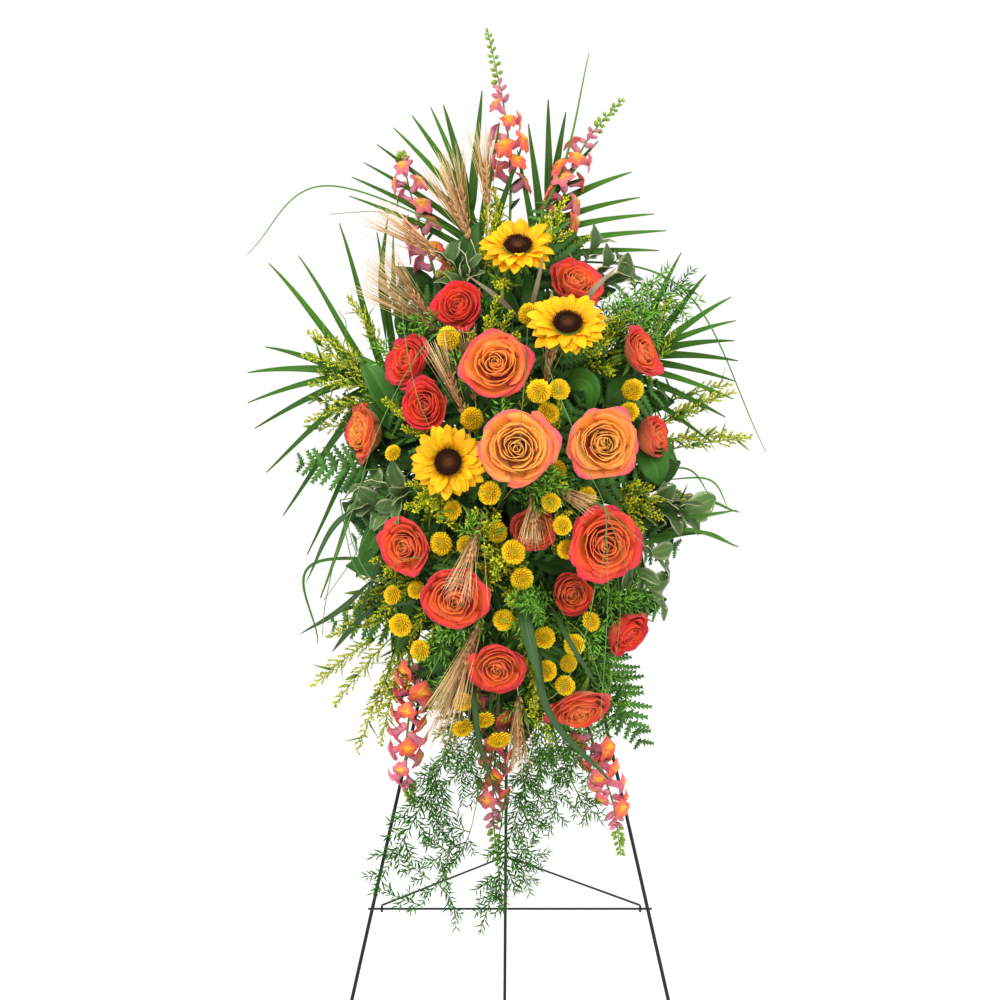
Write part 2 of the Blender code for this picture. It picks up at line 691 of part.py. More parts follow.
def sunflower(name, place, turn, lift, radius):
    """Petals, sepals and stem in one skin, and the disc in another."""
    skin = Skin(name, "sunflower_gold")
    across, up, ahead = face_axes(turn, lift)
    foot = place - ahead * (0.26 * radius)
    ring = foam_stem(skin, foot, ahead, ROSE_STEM)[0]
    count = 14
    bands = []
    for reach, height in ((0.14, -0.24), (0.40, -0.13), (0.43, -0.05), (0.41, 0.03)):
        places = ring_round(place + ahead * (height * radius), across, up,
                            reach * radius, reach * radius, count, 0.0)
        new = skin.ring(places)
        if len(ring) == 4:
            skin.spread(ring, new)
        else:
            bands.append(skin.band(ring, new))
        ring = new
    skin.close(ring, place + ahead * (0.03 * radius))
    draw = random.Random(name)
    for row, band, tilt, offset in ((0, bands[2], 0.16, 0.0), (1, bands[1], -0.04, math.pi / count)):
        for key in band:
            out = skin.centre(key) - place
            out -= ahead * out.dot(ahead)
            out.normalize()
            side = ahead.cross(out)
            way = out * math.cos(offset) + side * math.sin(offset)
            way += ahead * (tilt + draw.uniform(-0.05, 0.05))
            way.normalize()
            reach = radius * draw.uniform(0.93, 1.0)
            start = place + ahead * (-0.01 - 0.09 * row) * radius
            half = start + way * (reach * 0.70)
            tip = start + way * reach + ahead * (draw.uniform(-0.05, 0.05) * radius)
            shoot(skin, key, [half, tip], [(0.13 * radius, 0.6 * MM)], way.cross(side))
    store(skin)
    disc = Skin(name + "_disc", "sunflower_disc")
    ring = None
    for reach, height in ((0.33, 0.0), (0.37, 0.06), (0.28, 0.14), (0.16, 0.10)):
        zig = 0.03 if ring else 0.0
        places = [place + ahead * (0.03 * radius + 2 * GAP + (height + zig * (k % 2)) * radius)
                  + (across * math.cos(math.tau * k / 10) + up * math.sin(math.tau * k / 10))
                  * (reach * radius) for k in range(10)]
        new = disc.ring(places)
        if ring is None:
            disc.face(*reversed(new))
        else:
            disc.band(ring, new)
        ring = new
    disc.close(ring, place + ahead * (0.10 * radius + 2 * GAP))
    store(disc)


def pom_head(skin, ring, place, ahead, radius):
    """A small round head of short petals in rows, on the ring of its stalk."""
    across = ahead.orthogonal().normalized()
    up = ahead.cross(across)
    for reach, height, zig in ((1.0, -0.10, 0.16), (0.62, 0.36, 0.10)):
        places = []
        for k in range(8):
            angle = math.tau * (k + (0.5 if reach < 1 else 0)) / 8
            wide = reach * (1 - zig * (k % 2))
            places.append(place + (across * math.cos(angle) * wide + up * math.sin(angle) * wide
                                   + ahead * (height - zig * (k % 2))) * radius)
        places = matched([skin.points[i] for i in ring], places)
        new = skin.ring(places)
        if len(ring) == 4:
            skin.spread(ring, new)
        else:
            skin.band(ring, new)
        ring = new
    skin.close(ring, place + ahead * (0.30 * radius))


def pom_spray(name, spot, heads):
    skin = Skin(name, "pom_yellow")
    steps = fork(skin, point(*spot), THIN_STEM, (len(heads) + 3) // 4 + 1)
    hub = point(*spot)
    order = sorted(heads, key=lambda h: (point(*h[:3]) - hub).length)
    for x, z, front, size in order:
        place = point(x, z, front)
        radius = size * CM / 2
        ahead = ((place - hub).normalized() + heading(0, 10)).normalized()
        ring = stalk(skin, steps, place - ahead * (0.7 * radius), ahead, 1.1 * MM, place)
        pom_head(skin, ring, place, ahead, radius)
    store(skin)


def snapdragon(name, spots, flowers, buds):
    skin = Skin(name, "snapdragon_pink")
    places = [point(*s) for s in spots]
    first = (places[1] - places[0]).normalized()
    ring = foam_stem(skin, places[0], first, THIN_STEM, 2)[0]
    draw = random.Random(name)
    total = flowers + buds
    spine = []
    for i in range(1, total // 2 + 2):
        t = i / (total // 2 + 1) * (len(places) - 1)
        k = min(int(t), len(places) - 2)
        spine.append(places[k].lerp(places[k + 1], t - k))
    path = headed([places[0]] + spine)
    side = None
    rows = []
    for n, (spot, ahead) in enumerate(path[1:-1]):
        if side is None:
            side = UP if abs(ahead.z) < 0.7 else AWAY
        side = (side - ahead * side.dot(ahead)).normalized()
        turned = side * math.cos(0.5 * n) + ahead.cross(side) * math.sin(0.5 * n)
        radius = THIN_STEM * (1.2 - 0.5 * n / len(path))
        places_ring = ring_round(spot, turned, ahead.cross(turned), radius, radius, 4, math.radians(225))
        places_ring = matched([skin.points[i] for i in ring], places_ring)
        new = skin.ring(places_ring)
        rows.append((skin.band(ring, new), ahead))
        ring = new
    skin.close(ring, path[-1][0])
    made = 0
    for n, (band, ahead) in enumerate(rows):
        share = n / len(rows)
        for j in (0, 2) if n % 2 else (1, 3):
            key = band[j]
            out = skin.outward(key)
            spot = skin.centre(key)
            if made < flowers:
                size = 1.0 - 0.35 * share
                way = (out + ahead * 0.55).normalized()
                lip = (out - ahead * 0.2).normalized()
                path_f = [spot + way * (0.8 * CM * size), spot + way * (1.7 * CM * size),
                          spot + way * (2.3 * CM * size) - ahead * (0.1 * CM),
                          spot + way * (1.9 * CM * size)]
                sizes = [(0.35 * CM * size, 0.32 * CM * size), (0.48 * CM * size, 0.42 * CM * size),
                         (0.85 * CM * size, 0.80 * CM * size)]
                shoot(skin, key, path_f, sizes, ahead, sharp=bool(n % 2))
            else:
                way = (out + ahead * 0.9).normalized()
                size = 1.2 - 0.6 * share
                path_b = [spot + way * (0.35 * CM * size), spot + way * (0.95 * CM * size)]
                shoot(skin, key, path_b, [(0.22 * CM * size, 0.20 * CM * size)], ahead)
            made += 1
    store(skin)


# Foliage

def rib(skin, spots, radius):
    """A rib that starts in the foam and runs through the places given."""
    places = [point(*s) for s in spots]
    first = (places[1] - places[0]).normalized()
    return foam_stem(skin, places[0], first, radius, 2)[0], places


def rungs(skin, ring, places, width, count, radius, taper):
    """Carries a rib on with pairs of short and long steps; returns the short bands and directions."""
    lengths = [(b - a).length for a, b in zip(places, places[1:])]
    total = sum(lengths)

    def along(distance):
        for a, b, length in zip(places, places[1:], lengths):
            if distance <= length:
                return a.lerp(b, distance / length)
            distance -= length
        return places[-1]

    rows = []
    gap = total / count
    side = None
    marks = []
    for k in range(count):
        marks.append((k * gap + gap - width, False))
        marks.append((k * gap + gap, True))
    spine = [places[0]] + [along(m) for m, _ in marks]
    flagged = [False] + [f for _, f in marks]
    path = headed(spine)
    for n, (spot, ahead) in enumerate(path):
        if n == 0:
            continue
        size = radius * (1 - taper * n / len(path))
        across = ahead.cross(AWAY).normalized()
        up = ahead.cross(across)
        places_ring = ring_round(spot, across, up, size * 1.3, size * 1.3, 4, math.radians(225))
        places_ring = matched([skin.points[i] for i in ring], places_ring)
        new = skin.ring(places_ring)
        band = skin.band(ring, new)
        if flagged[n]:
            rows.append((band, ahead, across))
        ring = new
    return ring, rows


def cap_end(skin, ring, tip, wide, thick, flat, share=0.45):
    """Ends a rib with a blade."""
    start = middle([skin.points[i] for i in ring])
    way = tip - start
    across = flat.cross(way.normalized()).normalized()
    up = way.normalized().cross(across)
    spot = start + way * share
    places = [spot - across * wide, spot - up * thick, spot + across * wide, spot + up * thick]
    places = matched([skin.points[i] for i in ring], places)
    new = skin.ring(places)
    skin.band(ring, new)
    skin.close(new, tip)


def leaflet(skin, band, tip, wide, thick, sag):
    stops = (0.33, 0.66)
    sizes = [(wide * math.sin(math.pi * (0.25 + 0.6 * t)), thick) for t in stops]
    return limb(skin, [band], tip, stops, sizes, AWAY, sharp=True, sag=sag)


def side_key(skin, band, way):
    keys = [k for k in band if k in skin.faces]
    if not keys:
        return None
    return max(keys, key=lambda k: skin.outward(k).dot(way))


def palm(name, spots, end, lefts, rights):
    skin = Skin(name, "palm_green")
    ring, places = rib(skin, spots, THIN_STEM)
    count = max(len(lefts), len(rights))
    ring, rows = rungs(skin, ring, places, 5 * MM, count, THIN_STEM, 0.4)
    cap_end(skin, ring, point(*end), 6 * MM, 0.7 * MM, AWAY)
    for tips in (lefts, rights):
        for n, (x, z, front, *wide) in enumerate(tips):
            band = rows[len(rows) - 1 - n][0]
            leaflet(skin, band, point(x, z, front), wide[0] if wide else 6.5 * MM, 0.7 * MM, 12 * MM)
    store(skin)


def leatherleaf(name, spots, reach, pairs):
    skin = Skin(name, "fern_green")
    ring, places = rib(skin, spots, THIN_STEM)
    ring, rows = rungs(skin, ring, places, 7 * MM, pairs, THIN_STEM, 0.4)
    last = middle([skin.points[i] for i in ring])
    ahead = rows[-1][1]
    cap_end(skin, ring, last + ahead * (0.35 * reach * CM), 8 * MM, 0.7 * MM, AWAY, 0.3)
    for n, (band, ahead, across) in enumerate(rows):
        size = reach * CM * (1.0 - 0.65 * n / len(rows))
        for sign in (-1, 1):
            way = (across * sign + ahead * 0.55).normalized()
            key = side_key(skin, band, across * sign)
            start = skin.centre(key)
            path = [start + way * (size * t) for t in (0.18, 0.55, 1.0)]
            shoot(skin, key, path, [(8 * MM, 0.7 * MM), (5.5 * MM, 0.6 * MM)], AWAY)
    store(skin)


def asparagus(name, spots, shoots_made):
    skin = Skin(name, "asparagus_green")
    ring, places = rib(skin, spots, 1.2 * MM)
    ring, rows = rungs(skin, ring, places, 6 * MM, shoots_made, 1.2 * MM, 0.4)
    last = middle([skin.points[i] for i in ring])
    skin.close(ring, last + rows[-1][1] * (1.2 * CM))
    draw = random.Random(name)
    for n, (band, ahead, across) in enumerate(rows):
        for sign in (-1, 1):
            size = CM * draw.uniform(3.4, 4.8) * (1 - 0.5 * n / len(rows))
            way = (across * sign + ahead * 0.8 + AWAY * draw.uniform(-0.3, 0.1)).normalized()
            key = side_key(skin, band, across * sign)
            start = skin.centre(key)
            path = [start + way * (size * t) for t in (0.4, 0.72, 1.0)]
            sizes = [(0.9 * MM, 0.9 * MM), (0.7 * MM, 0.7 * MM)]
            shoots = shoot(skin, key, path, sizes, AWAY, sharp=False)
            if shoots is None:
                continue
            for twig in shoots:
                for needle in twig:
                    out = (skin.outward(needle) + way * 0.8).normalized()
                    base = skin.centre(needle)
                    shoot(skin, needle, [base + out * (11 * MM)], [], AWAY)
    store(skin)


def leafy(name, spots, reach, leaves, colour):
    skin = Skin(name, colour)
    ring, places = rib(skin, spots, THIN_STEM)
    ring, rows = rungs(skin, ring, places, 5 * MM, (leaves + 1) // 2, THIN_STEM, 0.4)
    last = middle([skin.points[i] for i in ring])
    cap_end(skin, ring, last + rows[-1][1] * (reach * CM), 0.25 * reach * CM, 0.6 * MM, AWAY)
    draw = random.Random(name)
    for n, (band, ahead, across) in enumerate(rows):
        for sign in (-1, 1):
            way = (across * sign + ahead * 0.7 - AWAY * draw.uniform(0.0, 0.5)).normalized()
            key = side_key(skin, band, across * sign)
            start = skin.centre(key)
            size = reach * CM * draw.uniform(0.8, 1.0)
            flat = (AWAY + UP * draw.uniform(-0.4, 0.4)).normalized()
            path = [start + way * (size * t) for t in (0.5, 1.0)]
            shoot(skin, key, path, [(0.26 * size, 0.6 * MM)], flat)
    store(skin)


def solidago(name, spot, tips):
    skin = Skin(name, "solidago_green")
    steps = fork(skin, point(*spot), THIN_STEM, 3)
    for tip in tips:
        end = point(*tip)
        length = (end - point(*spot)).length
        plume = min(0.7, 0.095 / length)
        stops = [0.10 if plume > 0.5 else 0.5 * (1 - plume)]
        sizes = [(0.9 * MM, 0.9 * MM)]
        for k in range(3):
            stops.append(1 - plume * (1 - 0.34 * k))
            full = (1.6, 4.8, 3.4)[k] * MM
            sizes.append((full, full))
        flat = (end - point(*spot)).orthogonal().normalized()
        bands = limb(skin, steps, end, stops, sizes, flat, sag=6 * MM)
        if bands is None:
            continue
        ahead = (end - point(*spot)).normalized()
        for band in bands[1:]:
            for bump in band:
                out = (skin.outward(bump) * 0.9 + ahead).normalized()
                shoot(skin, bump, [skin.centre(bump) + out * (9 * MM)], [], flat)
    store(skin)


def wheat(name, spot, ears):
    skin = Skin(name, "wheat_straw")
    steps = fork(skin, point(*spot), 1.4 * MM, (len(ears) + 3) // 4 + 1)
    for x, z, front, tip_x, tip_z, tip_front in ears:
        base = point(x, z, front)
        end = point(tip_x, tip_z, tip_front)
        way = (end - base).normalized()
        ear = 5.2 * CM
        flat = way.orthogonal().normalized()
        bands = None
        for key in faces_towards(skin, steps, base)[:6]:
            start = skin.centre(key)
            for bow in BOWS:
                path = [bowed(start, base, bow, 0.5), base]
                sizes = [(0.8 * MM, 0.8 * MM), (1.2 * MM, 1.2 * MM)]
                for k in range(1, 5):
                    path.append(base + way * (ear * k / 5))
                    full = (4.2 if k % 2 else 3.4) * MM
                    sizes.append((full, full * 0.8))
                path.append(base + way * ear)
                bands = bands or shoot(skin, key, path, sizes, flat, sharp=False)
                if bands:
                    break
            if bands:
                break
        if bands is None:
            continue
        length = (end - base).length - 0.6 * ear
        for n, band in enumerate(bands[3:]):
            for j, awn in enumerate(band):
                if n == 2 or (j + n) % 2 == 0:
                    aim = (way + skin.outward(awn) * 0.20).normalized()
                    shoot(skin, awn, [skin.centre(awn) + aim * length], [], flat)
    store(skin)


def broad(name, spot, leaves):
    skin = Skin(name, "leaf_green")
    steps = fork(skin, point(*spot), THIN_STEM)
    for x, z, front, half in leaves:
        end = point(x, z, front)
        length = (end - point(*spot)).length
        foot = max(0.15, 1 - 9 * CM / length)
        stops = (foot, foot + (1 - foot) * 0.4, foot + (1 - foot) * 0.72)
        sizes = [(1.5 * MM, 0.8 * MM), (half * CM, 0.8 * MM), (half * CM * 0.8, 0.7 * MM)]
        limb(skin, steps, end, stops, sizes, AWAY, sharp=True, sag=6 * MM)
    store(skin)


def grass(name, spot, blades):
    skin = Skin(name, "grass_green")
    steps = fork(skin, point(*spot), THIN_STEM)
    for bx, bz, bf, x, z, front, half in blades:
        stops = [k / 6 for k in range(1, 6)]
        sizes = [(half * CM * math.sin(math.pi * (0.2 + 0.65 * t)), 0.6 * MM) for t in stops]
        limb(skin, steps, point(x, z, front), stops, sizes, AWAY, sharp=True, bend=point(bx, bz, bf))
    store(skin)


# Easel, cage and foam

def wire(name, places, radius, corners, colour="enamelled_wire"):
    skin = Skin(name, colour)
    side = None
    ring = None
    for place, ahead in headed(places):
        if side is None:
            side = min((RIGHT, AWAY, UP), key=lambda v: abs(v.dot(ahead)))
        side = (side - ahead * side.dot(ahead)).normalized()
        new = skin.ring(ring_round(place, side, ahead.cross(side), radius, radius, corners,
                                   math.pi / corners))
        if ring is None:
            skin.face(*reversed(new))
        else:
            skin.band(ring, new)
        ring = new
    skin.face(*ring)
    store(skin)
    return skin


def frame_y(z):
    return FOOT_Y + z * math.tan(LEAN)


def easel():
    for name, sign in (("easel_leg_left", -1), ("easel_leg_right", 1)):
        low = BAR_HALF - (FOOT_RISE - BAR_Z) * LEG_SPLAY
        high = BAR_HALF - (LEG_TOP - BAR_Z) * LEG_SPLAY
        wire(name, [Vector((MID_X + sign * low, frame_y(FOOT_RISE), 0)),
                    Vector((MID_X + sign * low, frame_y(FOOT_RISE), FOOT_RISE)),
                    Vector((MID_X + sign * high, frame_y(LEG_TOP), LEG_TOP))], LEG_WIRE, 10)
    pin_back = -(LEG_WIRE + BAR_WIRE + GAP)
    bar_along = (BAR_Z - pin_back * math.sin(LEAN)) / math.cos(LEAN)
    reach = BAR_HALF + 0.006
    wire("easel_crossbar", [on_frame(-reach, bar_along, pin_back),
                            on_frame(reach, bar_along, pin_back)], BAR_WIRE, 6)
    hook = 0.016
    side = [(hook, 0.010, 0.016), (hook, 0.002, 0.0145), (hook, 0.0, 0.011), (hook, 0.0, -0.0025),
            (hook - 0.0024, 0.0, PIN_FRONT)]
    path = [on_frame(-u, PIN_ALONG + v, n) for u, v, n in side]
    path += [on_frame(u, PIN_ALONG + v, n) for u, v, n in side[::-1]]
    wire("easel_top_wire", path, SHELF_WIRE, 6)
    shelf = FOAM_LOW - TRAY - GAP - SHELF_WIRE
    near = LEG_WIRE + SHELF_WIRE + GAP
    side = [(0.120, near), (0.050, near), (0.046, near + 0.004), (0.046, 0.094), (0.042, 0.098)]
    path = [on_frame(-u, shelf, n) for u, n in side] + [on_frame(u, shelf, n) for u, n in side[::-1]]
    wire("easel_shelf_wire", path, SHELF_WIRE, 6)
    rear_leg()
    brace(on_frame(0, bar_along, pin_back))


def rear_leg():
    pin = on_frame(0, PIN_ALONG, PIN_FRONT)
    bend = SHELF_WIRE + 0.5 * MM + LEG_WIRE
    ankle = REAR_FOOT + UP * FOOT_RISE
    down = Vector((0, ankle.y - pin.y, ankle.z - pin.z)).normalized()
    out = Vector((0, -down.z, down.y))
    places = [REAR_FOOT, ankle]
    for k in range(8):
        turn = math.radians(250) * k / 7
        places.append(pin + (out * math.cos(turn) - down * math.sin(turn)) * bend)
    wire("easel_rear_leg", places, LEG_WIRE, 8)


def brace(bar):
    bend = BAR_WIRE + 0.5 * MM + BRACE_WIRE
    ends = []
    for x in (-0.175, 0.188):
        eye = Vector((x, bar.y, bar.z))
        loop = []
        for k in range(8):
            turn = math.radians(345 - 255 * k / 7)
            loop.append(eye + Vector((0, math.cos(turn), math.sin(turn))) * bend)
        loop.append(loop[-1] + AWAY * 0.006)
        ends.append(loop)
    z = bar.z + bend
    leg = leg_spot(z)
    apex = [Vector((leg.x + x * MM, leg.y + y * MM, z)) for x, y in
            ((-8, -1), (-5.4, 4.4), (0, 6.0), (5.4, 4.4), (8, -1))]
    wire("easel_brace", ends[0] + apex + ends[1][::-1], BRACE_WIRE, 6)


def leg_spot(z):
    """The middle of the rear leg at a height."""
    pin = on_frame(0, PIN_ALONG, PIN_FRONT)
    ankle = REAR_FOOT + UP * FOOT_RISE
    down = Vector((0, ankle.y - pin.y, ankle.z - pin.z)).normalized()
    top = pin + Vector((0, -down.z, down.y)) * (SHELF_WIRE + 0.5 * MM + LEG_WIRE)
    t = (top.z - z) / (top.z - ankle.z)
    return top.lerp(ankle, t)


def frame_box(u0, u1, v0, v1, n0, n1):
    """A box on the leaning plane."""
    skin = Skin("box", "cage_plastic")
    low = skin.ring([on_frame(u, v, n0) for u, v in ((u0, v0), (u1, v0), (u1, v1), (u0, v1))])
    high = skin.ring([on_frame(u, v, n1) for u, v in ((u0, v0), (u1, v0), (u1, v1), (u0, v1))])
    skin.face(*reversed(low))
    skin.face(*high)
    skin.band(low, high)
    return skin


def band_round(skin, corners, along, wide):
    """A flat strip bent through corners that each give an outer and an inner place."""
    ring = None
    for (u0, n0), (u1, n1) in corners:
        places = [on_frame(u1, along - wide, n1), on_frame(u0, along - wide, n0),
                  on_frame(u0, along + wide, n0), on_frame(u1, along + wide, n1)]
        new = skin.ring(places)
        if ring is None:
            skin.face(*reversed(new))
        else:
            skin.band(ring, new)
        ring = new
    skin.face(*ring)
    return skin


def cage_pieces():
    """The tray with its top and bottom rim, the front ribs and the bail that hangs on the hooks."""
    inner = FOAM_HALF + GAP
    outer = inner + WALL
    low = FOAM_LOW - GAP
    high = FOAM_HIGH + GAP
    back = FOAM_BACK - GAP
    pieces = [frame_box(-outer, outer, low - WALL, high + WALL, back - TRAY, back),
              frame_box(-outer, outer, low - WALL, low, back - 0.001, RIM),
              frame_box(-outer, outer, high, high + WALL, back - 0.001, RIM)]
    front = FOAM_FRONT + GAP
    for k in range(5):
        corners = [((outer, back - 0.001), (inner, back - 0.001)),
                   ((outer, front + WALL), (inner, front)),
                   ((-outer, front + WALL), (-inner, front)),
                   ((-outer, back - 0.001), (-inner, back - 0.001))]
        pieces.append(band_round(Skin("rib", "cage_plastic"), corners,
                                 FOAM_LOW + 0.043 + RIB_STEP * k, RIB / 2))
    bail = PIN_ALONG + SHELF_WIRE + GAP
    pieces.append(frame_box(-0.030, 0.030, bail, bail + 0.004, back - TRAY + 0.0005, back - 0.0005))
    pieces.append(frame_box(-0.030, -0.025, high, bail + 0.003, back - TRAY + 0.001, back - 0.001))
    pieces.append(frame_box(0.025, 0.030, high, bail + 0.003, back - TRAY + 0.001, back - 0.001))
    return pieces


def hole_piece(inner, entry, aim, radius):
    """A plain straight hole a little wider than its stem."""
    skin = Skin("hole", "wet_foam")
    side = UP if abs(aim.z) < 0.7 else AWAY
    side = (side - aim * side.dot(aim)).normalized()
    up = aim.cross(side)
    wide = radius * 1.3 + GAP * 1.5
    low = skin.ring(ring_round(inner - aim * GAP, side, up, wide, wide, 4, math.radians(225)))
    high = skin.ring(ring_round(entry + aim * 0.012, side, up, wide, wide, 4, math.radians(225)))
    skin.face(*reversed(low))
    skin.face(*high)
    skin.band(low, high)
    return skin


# Objects

def mesh_object(skin, collection):
    mesh = bpy.data.meshes.new(skin.name)
    faces = list(skin.faces.values())
    work = bmesh.new()
    corners = [work.verts.new(p) for p in skin.points]
    for face in faces:
        work.faces.new([corners[i] for i in face])
    bmesh.ops.triangulate(work, faces=work.faces[:], quad_method="SHORT_EDGE")
    loose = [v for v in work.verts if not v.link_faces]
    bmesh.ops.delete(work, geom=loose, context="VERTS")
    work.to_mesh(mesh)
    work.free()
    item = bpy.data.objects.new(skin.name, mesh)
    collection.objects.link(item)
    return item


def joined(item, pieces, operation, cutters, collection):
    """Adds pieces to an object, or cuts them out of it."""
    group = bpy.data.collections.new("pieces")
    cutters.children.link(group)
    for piece in pieces:
        mesh_object(piece, group)
    change = item.modifiers.new("change", "BOOLEAN")
    change.operation = operation
    change.operand_type = "COLLECTION"
    change.collection = group
    change.solver = "MANIFOLD"
    graph = bpy.context.evaluated_depsgraph_get()
    graph.update()
    mesh = bpy.data.meshes.new_from_object(item.evaluated_get(graph))
    item.modifiers.clear()
    item.data = mesh
    for old in list(group.objects):
        bpy.data.objects.remove(old)
    bpy.data.collections.remove(group)


def make_material(name):
    colour, roughness, metallic = COLOURS[name]
    material = bpy.data.materials.new(name)
    material.use_nodes = True
    shader = material.node_tree.nodes["Principled BSDF"]
    shader.inputs["Base Color"].default_value = (*colour, 1)
    shader.inputs["Roughness"].default_value = roughness
    shader.inputs["Metallic"].default_value = metallic
    return material


def plants():
    for name in dict.fromkeys(row[0] for row in ROSES):
        rose_stem(name)
    for name, x, z, front, turn, lift, size in SUNFLOWERS:
        sunflower(name, point(x, z, front), turn, lift, size * CM / 2)
    for row in SNAPDRAGONS:
        snapdragon(*row)
    for row in POM_SPRAYS:
        pom_spray(*row)
    for row in PALMS:
        palm(*row)
    for row in WHEAT:
        wheat(*row)
    for row in BROAD:
        broad(*row)
    for row in GRASS:
        grass(*row)
    for row in LEAFY:
        leafy(*row)
    for row in LEATHERLEAF:
        leatherleaf(*row)
    for row in SOLIDAGO:
        solidago(*row)
    for row in ASPARAGUS:
        asparagus(*row)


def main():
    for item in list(bpy.data.objects):
        bpy.data.objects.remove(item)
    scene = bpy.context.scene
    collection = bpy.data.collections.new("standing_funeral_spray")
    scene.collection.children.link(collection)
    cutters = bpy.data.collections.new("cutters")
    cutters.hide_render = True
    scene.collection.children.link(cutters)
    materials = {name: make_material(name) for name in COLOURS}
    easel()
    cage = cage_pieces()
    for piece in cage:
        SPACE.add(piece)
    SPACE.add(frame_box(-FOAM_HALF, FOAM_HALF, FOAM_LOW, FOAM_HIGH, FOAM_BACK, FOAM_FRONT))
    make_ports()
    plants()
    items = [(skin, mesh_object(skin, collection)) for skin in SKINS]
    tray = cage[0]
    tray.name = "foam_cage"
    item = mesh_object(tray, collection)
    joined(item, cage[1:], "UNION", cutters, collection)
    items.append((tray, item))
    block = frame_box(-FOAM_HALF, FOAM_HALF, FOAM_LOW, FOAM_HIGH, FOAM_BACK, FOAM_FRONT)
    block.name = "foam_block"
    block.colour = "wet_foam"
    item = mesh_object(block, collection)
    joined(item, [hole_piece(*hole) for hole in HOLES], "DIFFERENCE", cutters, collection)
    items.append((block, item))
    for skin, item in items:
        item.data.materials.clear()
        item.data.materials.append(materials[skin.colour])


main()
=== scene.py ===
"""Looks of a standing funeral spray: roses, sunflowers, snapdragons, poms and greenery on a wire easel."""

import random
from math import cos, hypot, pi, radians, sin, sqrt, tau

import bpy
import numpy as np
from mathutils import Matrix, Vector


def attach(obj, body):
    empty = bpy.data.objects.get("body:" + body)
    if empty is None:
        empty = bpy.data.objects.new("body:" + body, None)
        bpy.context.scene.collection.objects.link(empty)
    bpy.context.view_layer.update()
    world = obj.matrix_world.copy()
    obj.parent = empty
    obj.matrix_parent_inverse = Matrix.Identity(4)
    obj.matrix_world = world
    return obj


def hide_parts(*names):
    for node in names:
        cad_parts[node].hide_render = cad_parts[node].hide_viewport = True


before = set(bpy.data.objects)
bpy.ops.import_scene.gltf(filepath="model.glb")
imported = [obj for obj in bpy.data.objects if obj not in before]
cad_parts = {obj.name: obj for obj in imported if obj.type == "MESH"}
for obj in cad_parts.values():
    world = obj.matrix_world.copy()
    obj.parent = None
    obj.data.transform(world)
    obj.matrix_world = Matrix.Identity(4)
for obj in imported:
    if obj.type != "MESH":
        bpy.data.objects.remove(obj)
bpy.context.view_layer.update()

CM = 0.01
MM = 0.001
UP = Vector((0, 0, 1))
RIGHT = Vector((1, 0, 0))
GOLDEN = radians(137.508)

# The leaning plane of the easel and the foam block on it
LEAN = radians(9.5)
FOOT_Y = -0.13
MID_X = 0.005
FOAM_HALF = 0.06
FOAM_LOW = 0.735
FOAM_HIGH = 1.165
FOAM_BACK = 0.0075
FOAM_FRONT = 0.0915

# Roses: node, x, z, front, turn, lift, diameter (cm and degrees), stretch, petals
ROSES = [
    ("rose_01_03_04", -6.5, 119, 15, -20, 15, 7.2, 1, "rose_red"),
    ("rose_02", -1.5, 110.5, 23, -5, 12, 9.6, 1, "rose_peach"),
    ("rose_01_03_04", -13.5, 111.5, 15, -45, 15, 8, 1, "rose_red"),
    ("rose_01_03_04", -10.8, 105.2, 20, -25, 0, 7.2, 1, "rose_red"),
    ("rose_05", -20.3, 102.3, 8, -62, 0, 8.6, 1.2, "rose_peach"),
    ("rose_06", 1.3, 99.4, 27, 0, 0, 10.4, 1, "rose_apricot"),
    ("rose_07", 12.7, 100.1, 22, 12, 0, 9.8, 1, "rose_apricot"),
    ("rose_08", 9.6, 122.6, 12, 25, 30, 8, 1.1, "rose_coral"),
    ("rose_09_10", 18.7, 113, 12, 50, 15, 7.2, 1.2, "rose_coral"),
    ("rose_09_10", 20.4, 101.4, 12, 60, 10, 6.2, 1.5, "rose_coral"),
    ("rose_11", 13.1, 86.8, 21, 15, -8, 10.4, 1, "rose_coral"),
    ("rose_12_13", -13.7, 86.5, 17, -25, -5, 7.8, 1, "rose_coral"),
    ("rose_12_13", -6.8, 79.5, 21, -10, -22, 9.6, 1, "rose_coral"),
    ("rose_14_15", 3.6, 88.7, 18, 5, -10, 6, 1.3, "rose_peach"),
    ("rose_14_15", 8.9, 80, 15, 15, -15, 6, 1.2, "rose_coral"),
    ("rose_16_18", 16.6, 74.4, 13, 45, -35, 6.8, 1.4, "rose_red"),
    ("rose_16_18", 10, 63.8, 13, 15, -50, 9, 1, "rose_coral"),
    ("rose_17", -1.2, 70.1, 17, 0, -25, 7.8, 1, "rose_coral"),
]

# Slots that aren't named for the node's first petals
ROSE_SLOTS = {"rose_06": "rose_peach", "rose_07": "rose_peach", "rose_14_15": "rose_coral"}

# Where the stems with several roses fork
ROSE_FORKS = {
    "rose_01_03_04": (-7.5, 110, 8.5),
    "rose_09_10": (13, 106, 6),
    "rose_12_13": (-8, 82, 11),
    "rose_14_15": (5.5, 84, 11.5),
    "rose_16_18": (10, 71, 8),
}

# Sunflowers: name, x, z, front, turn, lift, diameter
SUNFLOWERS = [
    ("sunflower_01", 1.5, 126.9, 15, 0, 42, 11.2),
    ("sunflower_02", 7.9, 115.6, 22, 0, 37, 11.4),
    ("sunflower_03", -7.6, 97.6, 23, -5, 5, 10.6),
]

